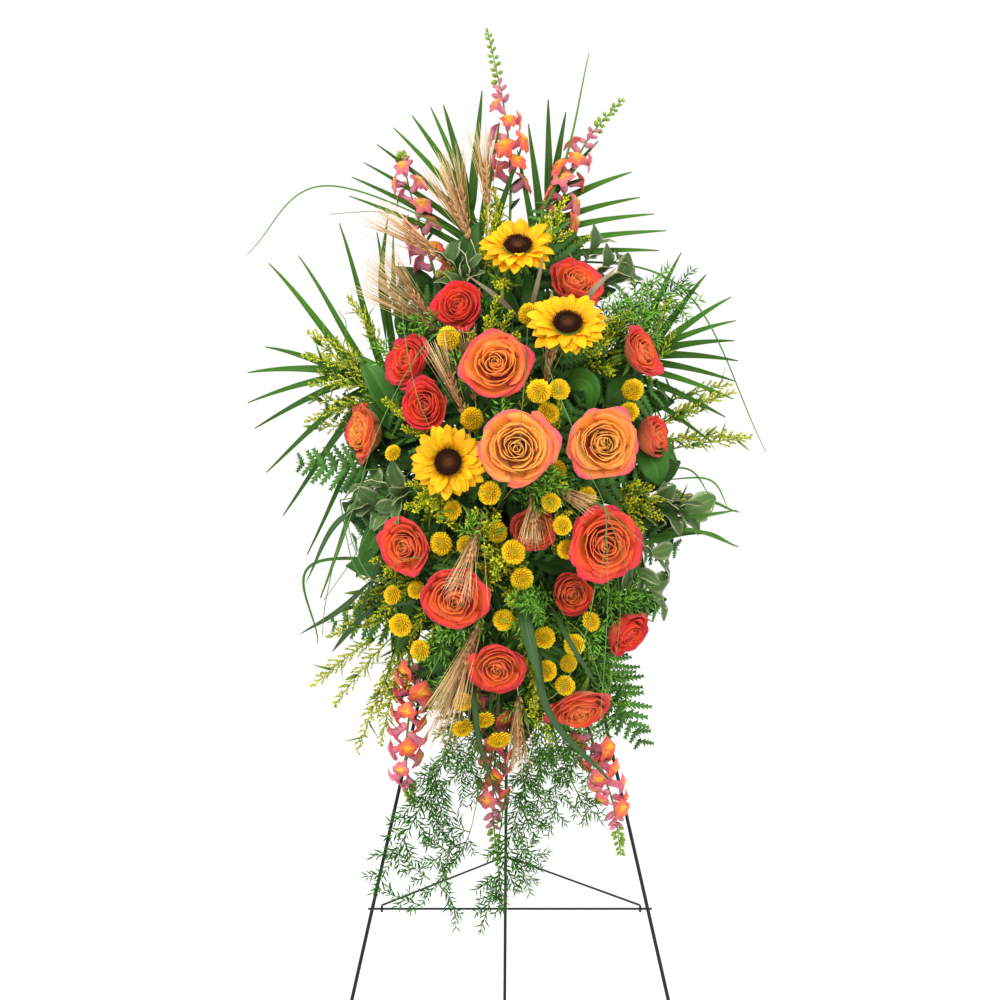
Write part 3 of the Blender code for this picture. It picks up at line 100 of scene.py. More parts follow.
# Snapdragons: name, stem points, buds, and the shares of the stem where flowers start and end
SNAPDRAGONS = [
    ("snapdragon_01", [(0.5, 131, 2), (0.6, 140, 1), (-0.2, 149, 0), (-2.8, 161.5, -1)], 8, 0.2, 0.62),
    ("snapdragon_02", [(6.5, 131, 2), (9.5, 140, 1), (12.2, 145.5, 0), (17, 151, 0)], 7, 0.06, 0.6),
    ("snapdragon_03", [(-9.9, 124, 4), (-12, 131, 3), (-13.8, 137, 1.6), (-15.2, 143, 1)], 6, 0.02, 0.88),
    ("snapdragon_04", [(-12, 70, 9), (-13.6, 62, 9.5), (-13.9, 55.5, 9.5), (-13, 50.5, 9.5)],
     5, 0.02, 0.8),
    ("snapdragon_05", [(-1.5, 66, 10), (-1.6, 57, 10.5), (-1.9, 50, 10.5), (-1.2, 42.2, 10.5)],
     6, 0.02, 0.66),
    ("snapdragon_06", [(11.7, 60, 7), (13.1, 55.5, 9), (14.8, 50.5, 9.5), (15.9, 43.3, 9.5)], 6, 0.02, 0.64),
]

# Button poms: name, fork (x, z, front), then heads (x, z, front, diameter)
POM_SPRAYS = [
    ("pom_spray_top", (1, 109, 12), [
        (2.8, 117.6, 17.5, 3), (-7.8, 114.2, 18.5, 3.2), (4.1, 106.7, 24.4, 3.2),
        (6.8, 107.1, 23, 2.9), (5.5, 104.1, 21.6, 2.9), (-4.6, 103.4, 20, 3.1)]),
    ("pom_spray_right", (9, 96, 11), [
        (17, 107.6, 15.5, 3), (16.4, 104.6, 16, 2.8), (6.7, 96.6, 20.6, 2.7),
        (5.7, 92.4, 22.4, 2.7), (10.6, 93.2, 19.4, 2.6), (7.2, 89.4, 22.4, 2.7),
        (7.9, 86.2, 19.6, 2.6)]),
    ("pom_spray_left", (-4, 90, 12), [
        (-15.4, 99.1, 15.5, 2.4), (-2.3, 93.6, 23, 3.1), (-7.2, 91.4, 21, 2.7),
        (-8.8, 86.9, 18.6, 3.2), (-5.4, 86.7, 19, 2.7), (-1.2, 88.4, 20, 2.9),
        (0.9, 85.9, 22, 3.3), (2, 82.3, 20.5, 3.1), (-0.4, 76.8, 19, 2.9)]),
    ("pom_spray_low_left", (-8, 72, 10), [
        (-15.6, 79.8, 14, 2.8), (-12.2, 80.6, 15.4, 2.5), (-14.4, 75.8, 15, 3.2),
        (-11.8, 72.4, 15, 3), (-5.9, 65.4, 15, 2.8), (-5.9, 61.7, 14.4, 3),
        (-2.9, 62.9, 15, 2.8), (-1, 60.1, 14.2, 3.3)]),
    ("pom_spray_low_right", (5, 73, 11), [
        (5, 74.4, 18, 3), (9, 73.4, 17.4, 3), (11.4, 76.4, 16, 2.8),
        (5.2, 69.9, 17.4, 3), (7.8, 67.8, 16.4, 2.8), (8.4, 70.6, 14.8, 2.5)]),
]

# Solidago: name, fork (x, z, front), then plume tips (x, z, front)
SOLIDAGO = [
    ("solidago_left", (-14, 107, 8), [
        (-28.3, 116.5, 5), (-29, 113, 6), (-28, 108.8, 6), (-22.5, 121.5, 5),
        (-28.3, 103.5, 7)]),
    ("solidago_low_left", (-13, 76, 9), [
        (-27.3, 66.5, 8), (-24, 64, 9), (-20.8, 57.5, 9), (-17.5, 58.5, 10),
        (-25, 73.5, 9)]),
    ("solidago_top", (0, 122, 8), [
        (-3.6, 127, 12), (-1, 121, 18), (-9.6, 123.8, 11), (-1.8, 137, 5),
        (8.8, 135.5, 5)]),
    ("solidago_mid", (0, 80, 11), [
        (-11.2, 93.2, 19), (0.6, 79, 22), (-3.8, 84, 20), (6, 58.5, 12),
        (12, 70.4, 12)]),
    ("solidago_right", (14, 99, 6), [
        (34.4, 101.5, 4), (32.6, 108, 4), (26.3, 91, 6), (23.5, 121.5, 4)]),
]

# Wheat: name, fork (x, z, front), then ears (base x, z, front, tip of the awns x, z, front)
WHEAT = [
    ("wheat_top", (-3.3, 121.3, 8.2), [
        (-2.6, 134, 8, -3.4, 145.5, 7), (-5, 129, 9, -10.8, 140.5, 8),
        (-8.3, 125.8, 9.6, -19.7, 132.8, 10), (-5.4, 131, 6, -8, 143.5, 5)]),
    ("wheat_mid", (-5.5, 85.6, 10.5), [
        (-5.6, 104, 19, -9.6, 114.5, 20), (-4.2, 106, 16, -5.5, 116.5, 16),
        (5.2, 95, 20, 11.6, 91.4, 23), (3.6, 94.6, 19, 3.4, 86.6, 23),
        (-3.4, 89.8, 20.5, -6.4, 79.6, 26.5), (-4.6, 72, 14, -9.2, 57.5, 13),
        (1.6, 66, 13, 2, 54.5, 12.5), (5.1, 108, 15, 7, 116.5, 19),
        (-9.6, 117.4, 10, -18.4, 127.4, 11), (-9.2, 116, 10, -21, 123.2, 11),
        (-3.4, 76.8, 16.5, -8.2, 64, 18), (-3.9, 74.6, 16, -9.6, 61.6, 16.5)]),
]

# Palm fronds: name, rib points (x, z, front), tip of the end leaflet, then tips of the leaflets on each
# side (x, z, front, and the half width of one in metres)
PALMS = [
    ("palm_top_left", [(-2, 124, 3), (-3.6, 130, 2), (-5.6, 137, 1)], (-9.1, 150, 0), [
        (-10.9, 149.4, 1), (-13.6, 148.2, 1), (-16.2, 146.2, 2), (-18.6, 143.8, 2),
        (-20.5, 141.2, 2), (-22.1, 138.9, 3), (-22.4, 136, 4),
        (-6.6, 131, 8, 0.017)], [
        (-3.5, 151.8, 1), (-1, 147, 1), (2.4, 144, 2)]),
    ("palm_top_right", [(3.4, 125, 2), (5, 131, 1), (6.6, 137.5, 0)], (8.7, 149.2, -1), [
        (6.1, 150.8, 0), (3.2, 147, 1), (1.6, 143, 2)], [
        (13.4, 145, -1), (18.3, 140.5, -1), (19.4, 136.6, 0), (21.4, 134, 1),
        (23, 131.4, 2), (21.8, 128.4, 3)]),
    ("palm_left", [(-13, 106, 3), (-18, 109, 3), (-23, 111, 3)], (-37.2, 111, 2), [
        (-37, 106.6, 3), (-35.8, 102.9, 4), (-34, 96.6, 5), (-31.5, 90.5, 6),
        (-28, 85, 7), (-26, 79, 8)], [
        (-34.8, 114.8, 1), (-34.1, 126.7, 2), (-30, 128, 1), (-24, 132.5, 2),
        (-18.5, 131, 3)]),
    ("palm_right", [(13, 109, 3), (18, 112.5, 2), (22, 115, 2)], (32.5, 122, 1), [
        (29, 125.4, 0), (25.4, 128.6, 0)], [
        (33.2, 118.6, 1), (32.8, 115.6, 2), (33.2, 112.6, 3), (32.6, 109.6, 4),
        (32.2, 107, 5), (30.9, 104.4, 6), (28.6, 101, 7)]),
]

# Leatherleaf fern: name, rib points, pinna length at the foot, pairs of pinnae
LEATHERLEAF = [
    ("leatherleaf_left", [(-12, 95, 6), (-20, 97, 7), (-29.5, 98, 8)], 7, 6),
    ("leatherleaf_low_right", [(10, 72, 5), (15, 66, 5.5), (19.5, 58, 7)], 6.5, 6),
]

# Asparagus fern: name, strand points, pairs of side shoots
ASPARAGUS = [
    ("asparagus_right", [(14, 110, 2), (20, 119, 1), (27, 126, 0)], 5),
    ("asparagus_low_left", [(-5, 64, 10), (-11, 52, 11.5), (-18.4, 38.5, 11.5)], 6),
    ("asparagus_low_mid", [(4, 60, 9), (1.5, 50, 12.5), (-3.5, 33.8, 12.5)], 6),
]

# Leafy stems: name, stem points, leaf length, leaves
LEAFY = [
    ("pittosporum_left", [(-10, 92.5, 9), (-14, 92.5, 11), (-19.5, 92, 11)], 4.2, 9),
    ("pittosporum_right", [(14, 93, 8), (20, 92, 9), (25.5, 91, 9)], 4.6, 9),
]

# Broad leaves: name, fork, then leaves (tip x, z, front, half width)
BROAD = [
    ("broad_leaf_left", (-12, 98, 6), [
        (-20.5, 113, 7, 1.8), (-20.4, 108.4, 6.5, 1.5), (-20.8, 82, 10, 1.6),
        (-17, 82, 11, 1.4)]),
    ("broad_leaf_right", (10, 110, 6), [
        (24, 98, 7, 1.8), (12.8, 109.2, 15, 2.2)]),
]

# Grass: name, fork, then blades (middle x, z, front, tip x, z, front, half width)
GRASS = [
    ("grass_top", (1, 127, 5), [
        (-24.5, 136, 11, -36.3, 127, 8, 0.12), (8, 140, 3, 11.9, 157, 2, 0.2),
        (24.5, 123.5, 3, 37.2, 99.5, 3, 0.14)]),
    ("grass_low", (4, 82, 11.5), [
        (-26.5, 84, 5, -26.6, 72.5, 6, 0.25), (5, 66, 20.5, 13.4, 55.8, 19.5, 0.6),
        (25, 92, 7, 32.6, 91, 8, 0.35), (25, 88, 8, 32.3, 86.2, 9, 0.35)]),
]


# Places and directions

def point(x, z, front):
    """A place in the spray, given in centimetres."""
    return Vector((x * CM, -front * CM, z * CM))


def on_frame(across, along, front):
    """A place measured on the leaning plane of the easel."""
    return Vector((MID_X + across,
                   FOOT_Y + along * sin(LEAN) - front * cos(LEAN),
                   along * cos(LEAN) + front * sin(LEAN)))


FRAME_FOOT = on_frame(0, 0, 0)
FRAME_FRONT = on_frame(0, 0, 1) - FRAME_FOOT
FRAME_ALONG = on_frame(0, 1, 0) - FRAME_FOOT


def heading(turn, lift):
    """The direction of a head turned to the right and lifted by so many degrees."""
    turn = radians(turn)
    lift = radians(lift)
    return Vector((sin(turn) * cos(lift), -cos(turn) * cos(lift), sin(lift)))


def spoke(angle):
    """A direction out from the Z axis."""
    return np.array([cos(angle), sin(angle), 0])


def out_from(way, angle):
    """A direction square to way, at an angle round it."""
    side = way.orthogonal().normalized()
    return side * cos(angle) + way.cross(side) * sin(angle)


def square_to(way, hint):
    """The direction square to way that lies nearest to hint."""
    side = hint - way * hint.dot(way)
    return (way.orthogonal() if side.length < 1e-4 else side).normalized()


def axes_along(ahead, hint):
    """A matrix whose Z looks along ahead and whose X lies as near to hint as it can."""
    z = ahead.normalized()
    x = square_to(z, hint)
    return Matrix((x, z.cross(x), z)).transposed()


def leaf_seat(place, way, face):
    """The matrix that sets a leaf down with its X along way and its face towards face."""
    x = way.normalized()
    z = square_to(x, face)
    return Matrix.Translation(place) @ Matrix((x, z.cross(x), z)).transposed().to_4x4()


def seat(place, ahead, hint, size=1):
    """The 4x4 matrix that sets a form down at a place."""
    turn = axes_along(ahead, hint).to_4x4()
    return Matrix.Translation(place) @ turn @ Matrix.Scale(size, 4)


# Paths

def bezier(a, b, c, d, steps):
    """Points along a cubic curve, both ends included."""
    t = np.linspace(0, 1, steps)[:, None]
    a, b, c, d = (np.array(p) for p in (a, b, c, d))
    return a * (1 - t) ** 3 + b * 3 * (1 - t) ** 2 * t + c * 3 * (1 - t) * t ** 2 + d * t ** 3


def through(places, steps):
    """A smooth path through the given places."""
    spots = [np.array(p) for p in places]
    spots = [2 * spots[0] - spots[1]] + spots + [2 * spots[-1] - spots[-2]]
    path = []
    each = max(2, steps // (len(places) - 1))
    for i in range(1, len(spots) - 2):
        p0, p1, p2, p3 = spots[i - 1:i + 3]
        for t in np.linspace(0, 1, each, endpoint=False):
            path.append(0.5 * (2 * p1 + (p2 - p0) * t + (2 * p0 - 5 * p1 + 4 * p2 - p3) * t * t
                               + (3 * p1 - p0 - 3 * p2 + p3) * t ** 3))
    path.append(spots[-2])
    return np.array(path)


def place_on(path, at):
    """The place on a path at a number of steps from its start."""
    k = min(int(at), len(path) - 2)
    return Vector(path[k] * (1 - (at - k)) + path[k + 1] * (at - k))


def frames_on(path, hint):
    """Direction, side and face at each point of a path, carried along without twist."""
    ahead = np.gradient(path, axis=0)
    ahead /= np.linalg.norm(ahead, axis=1)[:, None] + 1e-12
    face = np.array(hint, float)
    faces = []
    for way in ahead:
        face = face - way * face.dot(way)
        face /= np.linalg.norm(face) + 1e-12
        faces.append(face)
    faces = np.array(faces)
    return ahead, np.cross(ahead, faces), faces


# Forms: points, faces and what a material reads: how far along, how far across and which side

class Form:
    def __init__(self, points, faces, along, across, side):
        self.points = np.asarray(points, float)
        self.faces = faces
        self.along = np.asarray(along, float)
        self.across = np.asarray(across, float)
        self.side = np.asarray(side, float)


def grid_faces(rows, cols, start, flipped):
    faces = []
    for i in range(rows - 1):
        for j in range(cols - 1):
            a = start + i * cols + j
            face = (a, a + 1, a + cols + 1, a + cols)
            faces.append(face[::-1] if flipped else face)
    return faces


def ring_faces(rows, sides, start=0, flipped=False):
    """Faces between rings of points, one ring a row."""
    faces = []
    for i in range(rows - 1):
        for k in range(sides):
            a = start + i * sides + k
            b = start + i * sides + (k + 1) % sides
            faces.append((a, a + sides, b + sides, b) if flipped else (a, b, b + sides, a + sides))
    return faces


def sheet(grid, thick, along=None):
    """A closed thin petal or blade from a grid: rows from foot to tip, columns across."""
    rows, cols = grid.shape[:2]
    down = np.gradient(grid, axis=0)
    over = np.gradient(grid, axis=1)
    normal = np.cross(down, over)
    size = np.linalg.norm(normal, axis=2)[:, :, None]
    normal = np.where(size > 1e-14, normal / np.maximum(size, 1e-14), 0)
    for i in range(1, rows):
        blank = np.linalg.norm(normal[i], axis=1) < 0.5
        normal[i][blank] = normal[i - 1][blank]
    front = grid + normal * (thick / 2)
    back = grid - normal * (thick / 2)
    points = np.concatenate([front.reshape(-1, 3), back.reshape(-1, 3)])
    total = rows * cols
    faces = grid_faces(rows, cols, 0, True) + grid_faces(rows, cols, total, False)
    rim = list(range(cols)) + [i * cols + cols - 1 for i in range(1, rows)]
    rim += [(rows - 1) * cols + j for j in range(cols - 2, -1, -1)]
    rim += [i * cols for i in range(rows - 2, 0, -1)]
    for a, b in zip(rim, rim[1:] + rim[:1]):
        faces.append((a, b, b + total, a + total))
    u = np.repeat(np.linspace(0, 1, rows), cols) if along is None else along.reshape(-1)
    v = np.tile(np.linspace(0, 1, cols), rows)
    side = np.concatenate([np.zeros(total), np.ones(total)])
    return Form(points, faces, np.tile(u, 2), np.tile(v, 2), side)


def tube(path, radii, sides, hint=(0.3, 0.2, 0.9)):
    """A round closed stem along a path, with one radius or one for each point."""
    rows = len(path)
    radii = np.broadcast_to(np.asarray(radii, float), rows)
    across, face = frames_on(path, hint)[1:]
    angles = np.arange(sides) * tau / sides
    ring = (np.cos(angles)[None, :, None] * across[:, None, :]
            + np.sin(angles)[None, :, None] * face[:, None, :])
    points = (path[:, None, :] + ring * radii[:, None, None]).reshape(-1, 3)
    faces = ring_faces(rows, sides, flipped=True)
    faces.append(tuple(range(sides)))
    faces.append(tuple(range(rows * sides - 1, (rows - 1) * sides - 1, -1)))
    along = np.repeat(np.linspace(0, 1, rows), sides)
    around = np.tile(np.linspace(0, 1, sides, endpoint=False), rows)
    return Form(points, faces, along, around, np.zeros(len(points)))


def turned(profile, sides, squash=1):
    """A form of revolution from (radius, height) pairs; the first and last lie on the axis."""
    angles = np.arange(sides) * tau / sides
    points = [(0, 0, profile[0][1])]
    along = [0]
    around = [0.5]
    for i, (radius, height) in enumerate(profile[1:-1], 1):
        for k, angle in enumerate(angles):
            points.append((radius * cos(angle), radius * sin(angle) * squash, height))
            along.append(i / (len(profile) - 1))
            around.append(k / sides)
    points.append((0, 0, profile[-1][1]))
    along.append(1)
    around.append(0.5)
    rings = len(profile) - 2
    last = len(points) - 1
    start = 1 + (rings - 1) * sides
    faces = [(0, 1 + (k + 1) % sides, 1 + k) for k in range(sides)]
    faces += ring_faces(rings, sides, 1)
    faces += [(start + k, start + (k + 1) % sides, last) for k in range(sides)]
    return Form(points, faces, along, around, np.zeros(len(points)))


def leaflet(points, along, across, first, side):
    """A closed outline with a raised middle on both sides; its last two points are the middles."""
    count = len(points) - 2
    faces = [(i, (i + 1) % count, count + first) for i in range(count)]
    faces += [((i + 1) % count, i, count + 1 - first) for i in range(count)]
    return Form(points, faces, along, across + [0.5, 0.5], [0] * (count + 1) + [side])


def ribbon(path, widths, fold, hint, cols=5, thick=0.5 * MM, wave=0, waves=0):
    """A blade along a path: half widths, rise of its edges above the midrib, and waves."""
    side, face = frames_on(path, hint)[1:]
    v = np.linspace(-1, 1, cols)[None, :]
    widths = np.asarray(widths, float)[:, None]
    rise = fold * np.abs(v) * widths
    if wave:
        t = np.linspace(0, 1, len(path))[:, None]
        rise = rise + wave * np.sin(t * waves * tau + v * 1.3) * np.abs(v) * widths
    over = side[:, None, :] * (v * widths)[:, :, None]
    return sheet(path[:, None, :] + over + face[:, None, :] * rise[:, :, None], thick)


class Piece:
    """One object of the scene: forms with a material each."""

    def __init__(self, name, seed):
        self.name = name
        self.draw = random.Random(seed)
        self.points = []
        self.faces = []
        self.growth = []
        self.side = []
        self.picks = []
        self.materials = []
        self.count = 0

    def add(self, form, material, matrix=None, own=None):
        """Adds a form; own is its share of lightness, drawn where it isn't given."""
        own = self.draw.random() if own is None else own
        points = form.points
        if matrix is not None:
            m = np.array(matrix)
            points = points @ m[:3, :3].T + m[:3, 3]
        if material not in self.materials:
            self.materials.append(material)
        start = self.count
        self.faces += [tuple(i + start for i in face) for face in form.faces]
        self.picks += [self.materials.index(material)] * len(form.faces)
        self.points.append(points)
        self.growth.append(np.column_stack([form.along, form.across, np.full(len(points), own)]))
        self.side.append(form.side)
        self.count += len(points)

    def make(self):
        mesh = bpy.data.meshes.new(self.name)
        mesh.from_pydata(np.concatenate(self.points).tolist(), [], self.faces)
        for material in self.materials:
            mesh.materials.append(MATERIALS[material])
        mesh.polygons.foreach_set("material_index", self.picks)
        mesh.polygons.foreach_set("use_smooth", [True] * len(self.faces))
        growth = mesh.attributes.new("growth", "FLOAT_VECTOR", "POINT")
        growth.data.foreach_set("vector", np.concatenate(self.growth).astype(np.float32).reshape(-1))
        side = mesh.attributes.new("side", "FLOAT", "POINT")
        side.data.foreach_set("value", np.concatenate(self.side).astype(np.float32))
        mesh.update()
        return into_scene(self.name, mesh)


def into_scene(name, content):
    """Puts a mesh, lamp or camera into the scene."""
    item = bpy.data.objects.new(name, content)
    bpy.context.scene.collection.objects.link(item)
    return item


def settle(piece, slot, *nodes):
    """Makes a piece that rides on the stand and takes the place of CAD nodes."""
    item = piece.make()
    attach(item, "stand")
    if nodes:
        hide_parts(*nodes)


# Stems

# A stem stands this deep in its hole, and its CAD node is looked at between these distances from its end
HOLE_DEPTH = 0.03
AIM_NEAR = 0.026
AIM_FAR = 0.036


def foam_root(node):
    """Where a CAD stem ends in the foam and its direction there, read from the node."""
    points = [v.co.copy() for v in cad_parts[node].data.vertices]
    inner = []
    for p in points:
        across = p.x - MID_X
        front = (p - FRAME_FOOT).dot(FRAME_FRONT)
        along = (p - FRAME_FOOT).dot(FRAME_ALONG)
        if abs(across) < FOAM_HALF and FOAM_LOW < along < FOAM_HIGH and FOAM_BACK < front < FOAM_FRONT:
            inner.append(p)
    end = sum(inner, Vector()) / len(inner)
    near = [p for p in points if AIM_NEAR < (p - end).length < AIM_FAR]
    mouth = sum(near, Vector()) / len(near)
    return end, (mouth - end).normalized()


def stem_to(piece, node, target, facing, radius, material="green_stem", steps=14):
    """A stem out of its hole in the foam to the foot of a head."""
    end, aim = foam_root(node)
    start = end + aim * HOLE_DEPTH
    pull = (target - start).length * 0.38
    path = bezier(start, start + aim * pull, target - facing * pull, target, steps)
    path = np.concatenate([[np.array(end)], path])
    piece.add(tube(path, radius, 7), material, own=0.4)


def stalk(piece, start, target, facing, radius, material="green_stem", steps=8, sides=6):
    """A side stem from a fork to the foot of a head."""
    reach = (target - start).length
    way = (target - start).normalized()
    path = bezier(start, start + way * reach * 0.3, target - facing * reach * 0.35, target, steps)
    piece.add(tube(path, np.linspace(radius, radius * 0.8, steps), sides), material, own=0.5)


def fork_stem(piece, node, place, radius, material="green_stem"):
    """The stem of a bunch, from the foam to where it forks."""
    inside = on_frame(0, min(max(place.z, 0.8), 1.1) / cos(LEAN), 0.05)
    stem_to(piece, node, place, (place - inside).normalized(), radius, material, 10)


def planted(name, kind, spots, radius, seed=" look"):
    """Starts a piece that grows along its places."""
    piece = Piece(name + kind, name + seed)
    places = [point(*spot) for spot in spots]
    stem_to(piece, name, places[0], (places[1] - places[0]).normalized(), radius)
    return piece, places


def branched(name, kind, spot, radius, material="green_stem"):
    """Starts a piece that branches from a fork."""
    piece = Piece(name + kind, name + " look")
    hub = point(*spot)
    fork_stem(piece, name, hub, radius, material)
    return piece, hub


# Materials

MATERIALS = {}


def linear(code):
    """An sRGB hex colour as linear values."""
    parts = [int(code[i:i + 2], 16) / 255 for i in (0, 2, 4)]
    return [c / 12.92 if c <= 0.04045 else ((c + 0.055) / 1.055) ** 2.4 for c in parts] + [1.0]


def add_node(tree, kind, links=None, **settings):
    """Adds a node; links gives each input a value or the output that feeds it."""
    node = tree.nodes.new("ShaderNode" + kind)
    for key, value in settings.items():
        setattr(node, key, value)
    for key, value in (links or {}).items():
        if isinstance(value, bpy.types.NodeSocket):
            tree.links.new(value, node.inputs[key])
        else:
            node.inputs[key].default_value = value
    return node


def blank(name, sockets):
    """A new material with constants on its shader's own sockets."""
    material = bpy.data.materials.new(name)
    material.use_nodes = True
    MATERIALS[name] = material
    shader = material.node_tree.nodes["Principled BSDF"]
    for key, value in sockets.items():
        shader.inputs[key].default_value = value
    return material.node_tree, shader


def colours_along(tree, factor, stops):
    """The output of a ramp through the colours of the given stops."""
    node = add_node(tree, "ValToRGB", {"Fac": factor})
    ramp = node.color_ramp
    while len(ramp.elements) < len(stops):
        ramp.elements.new(0.5)
    for element, place in zip(ramp.elements, stops):
        element.position = place
    for element, code in zip(ramp.elements, stops.values()):
        element.color = linear(code)
    return node.outputs["Color"]


# The part of a noise that patterns use, and the width of clouds of light and shade
LOW = 0.3
HIGH = 0.7
CLOUD = 45 * MM


def grown(name, stops, back, roughness, glow=0.0, edge=None, edge_from=0.6, rib=None, veins=0, depth=0.1,
          mottle=6.0, spread=0.3, sheen=0.0, fade=0.12):
    """A petal or leaf: colours from foot to tip, its back, edge, rib and veins; mottle and depth in mm."""
    tree, shader = blank(name, {
        "Roughness": roughness, "Subsurface Weight": glow, "Subsurface Radius": (1.0, 0.45, 0.25),
        "Subsurface Scale": 0.002, "Sheen Weight": sheen, "Specular IOR Level": 0.28})
    growth = add_node(tree, "Attribute", attribute_name="growth")
    side = add_node(tree, "Attribute", attribute_name="side")
    along, across, own = add_node(tree, "SeparateXYZ", {0: growth.outputs["Vector"]}).outputs
    place = add_node(tree, "TexCoord").outputs["Object"]
    noise = add_node(tree, "TexNoise",
                     {"Vector": place, "Scale": 1 / (mottle * MM), "Detail": 3.0}).outputs[0]

    # Colour along the leaf, shifted a little by the mottling
    shift = add_node(tree, "MapRange", {0: noise, 1: LOW, 2: HIGH, 3: -fade, 4: fade}).outputs[0]
    moved = add_node(tree, "Math", {0: along, 1: shift}, operation="ADD").outputs[0]
    colour = colours_along(tree, moved, stops)

    # Edge, rib and back are laid over it
    off = add_node(tree, "Math", {0: across, 1: 0.5}, operation="SUBTRACT").outputs[0]
    off = add_node(tree, "Math", {0: off}, operation="ABSOLUTE").outputs[0]
    layers = []
    if edge:
        reach = add_node(tree, "Math", {0: shift, 1: 0.5, 2: off}, operation="MULTIPLY_ADD")
        rim = add_node(tree, "MapRange",
                       {0: reach.outputs[0], 1: edge_from / 2, 2: edge_from / 2 + 0.12}, clamp=True)
        layers.append((rim, edge))
    if rib:
        line = add_node(tree, "MapRange", {0: off, 1: 0.02, 2: 0.07, 3: 1.0, 4: 0.0}, clamp=True)
        layers.append((line, rib))
    turned_away = add_node(tree, "Math", {0: side.outputs["Fac"], 1: 0.75}, operation="MULTIPLY")
    layers.append((turned_away, back))
    for share, code in layers:
        colour = add_node(tree, "Mix", {0: share.outputs[0], 6: colour, 7: linear(code)},
                          data_type="RGBA").outputs[2]

    # Each leaf has its own lightness, under clouds of light and shade, and a slight change of hue
    light = add_node(tree, "MapRange", {0: own, 3: 1 - spread / 2, 4: 1 + spread / 2}).outputs[0]
    cloud = add_node(tree, "TexNoise", {"Vector": place, "Scale": 1 / CLOUD, "Detail": 2.0}).outputs[0]
    light = add_node(tree, "Math", {0: cloud, 1: 0.3, 2: light}, operation="MULTIPLY_ADD").outputs[0]
    light = add_node(tree, "Math", {0: light, 1: 0.15}, operation="SUBTRACT").outputs[0]
    tint = add_node(tree, "MapRange", {0: noise, 1: LOW, 2: HIGH, 3: 0.49, 4: 0.51}).outputs[0]
    colour = add_node(tree, "HueSaturation", {"Hue": tint, "Value": light, "Color": colour}).outputs[0]
    tree.links.new(colour, shader.inputs["Base Color"])

    # Veins run from foot to tip over the grain of the skin
    height = noise
    if veins:
        waves = add_node(tree, "Math", {0: across, 1: veins * pi}, operation="MULTIPLY").outputs[0]
        waves = add_node(tree, "Math", {0: waves}, operation="SINE").outputs[0]
        height = add_node(tree, "Math", {0: noise, 1: 0.6, 2: waves}, operation="MULTIPLY_ADD").outputs[0]
    bump = add_node(tree, "Bump", {"Height": height, "Distance": depth * MM, "Strength": 0.7})
    tree.links.new(bump.outputs[0], shader.inputs["Normal"])


def made(name, light, dark, roughness, size, depth, coat=0.0):
    """A moulded, drawn or foamed surface: two shades mixed by grain of a size in millimetres."""
    tree, shader = blank(name, {"Roughness": roughness, "Coat Weight": coat})
    place = add_node(tree, "TexCoord").outputs["Object"]
    noise = add_node(tree, "TexNoise",
                     {"Vector": place, "Scale": 1 / (size * MM), "Detail": 5.0}).outputs[0]
    colour = colours_along(tree, noise, {LOW: dark, HIGH: light})
    rough = add_node(tree, "MapRange", {0: noise, 3: roughness - 0.08, 4: roughness + 0.08})
    bump = add_node(tree, "Bump", {"Height": noise, "Distance": depth * MM, "Strength": 0.6})
    tree.links.new(colour, shader.inputs["Base Color"])
    tree.links.new(rough.outputs[0], shader.inputs["Roughness"])
    tree.links.new(bump.outputs[0], shader.inputs["Normal"])


# Rose petals: soft matt velvet, yellow at the claw, deeper and pinker at the lip; the grain is drawn coarse
ROSE_SKIN = {"glow": 0.25, "edge_from": 0.84, "veins": 26, "sheen": 0.15, "spread": 0.4,
             "fade": 0.05}
grown("rose_coral",
      {0: "FFCC60", 0.34: "FCA44C", 0.6: "F67E42", 0.8: "EA5840", 0.95: "CC3C54"},
      "EE8A60", 0.55, edge="D8446A", **ROSE_SKIN)
grown("rose_red",
      {0: "FCB050", 0.34: "F47A40", 0.6: "EC5836", 0.8: "DE423A", 0.95: "C22E4A"},
      "E45C48", 0.55, edge="D0365C", **ROSE_SKIN)
grown("rose_peach",
      {0: "FFDE78", 0.34: "FFC458", 0.6: "FFA44A", 0.78: "FA844C", 0.95: "DC4C68"},
      "F79A5E", 0.55, edge="DE4E7A", **dict(ROSE_SKIN, spread=0.36))
grown("rose_apricot",
      {0: "FFE68C", 0.34: "FFD266", 0.6: "FFB858", 0.8: "FFA058", 0.96: "E8687C"},
      "FCB470", 0.55, edge="E4688E", **dict(ROSE_SKIN, spread=0.34, edge_from=0.86))

# Ray petals: waxy, with two long creases that catch the light
grown("sunflower_petal", {0: "F29200", 0.2: "FEB800", 0.6: "FFD010", 1: "FFDA30"},
      "F8BC18", 0.48, glow=0.2, veins=7, depth=0.3, spread=0.26, fade=0.05)

# Disc florets: dry brown tubes, lighter and greyer at the heart
DISC_SKIN = {"spread": 0.5, "mottle": 1.5}
grown("sunflower_floret", {0: "2E170E", 0.6: "432112", 1: "7A451C"}, "2E170E", 0.85,
      **DISC_SKIN)
grown("sunflower_heart", {0: "4A3024", 1: "6E5A48"}, "4A3024", 0.85, **DISC_SKIN)

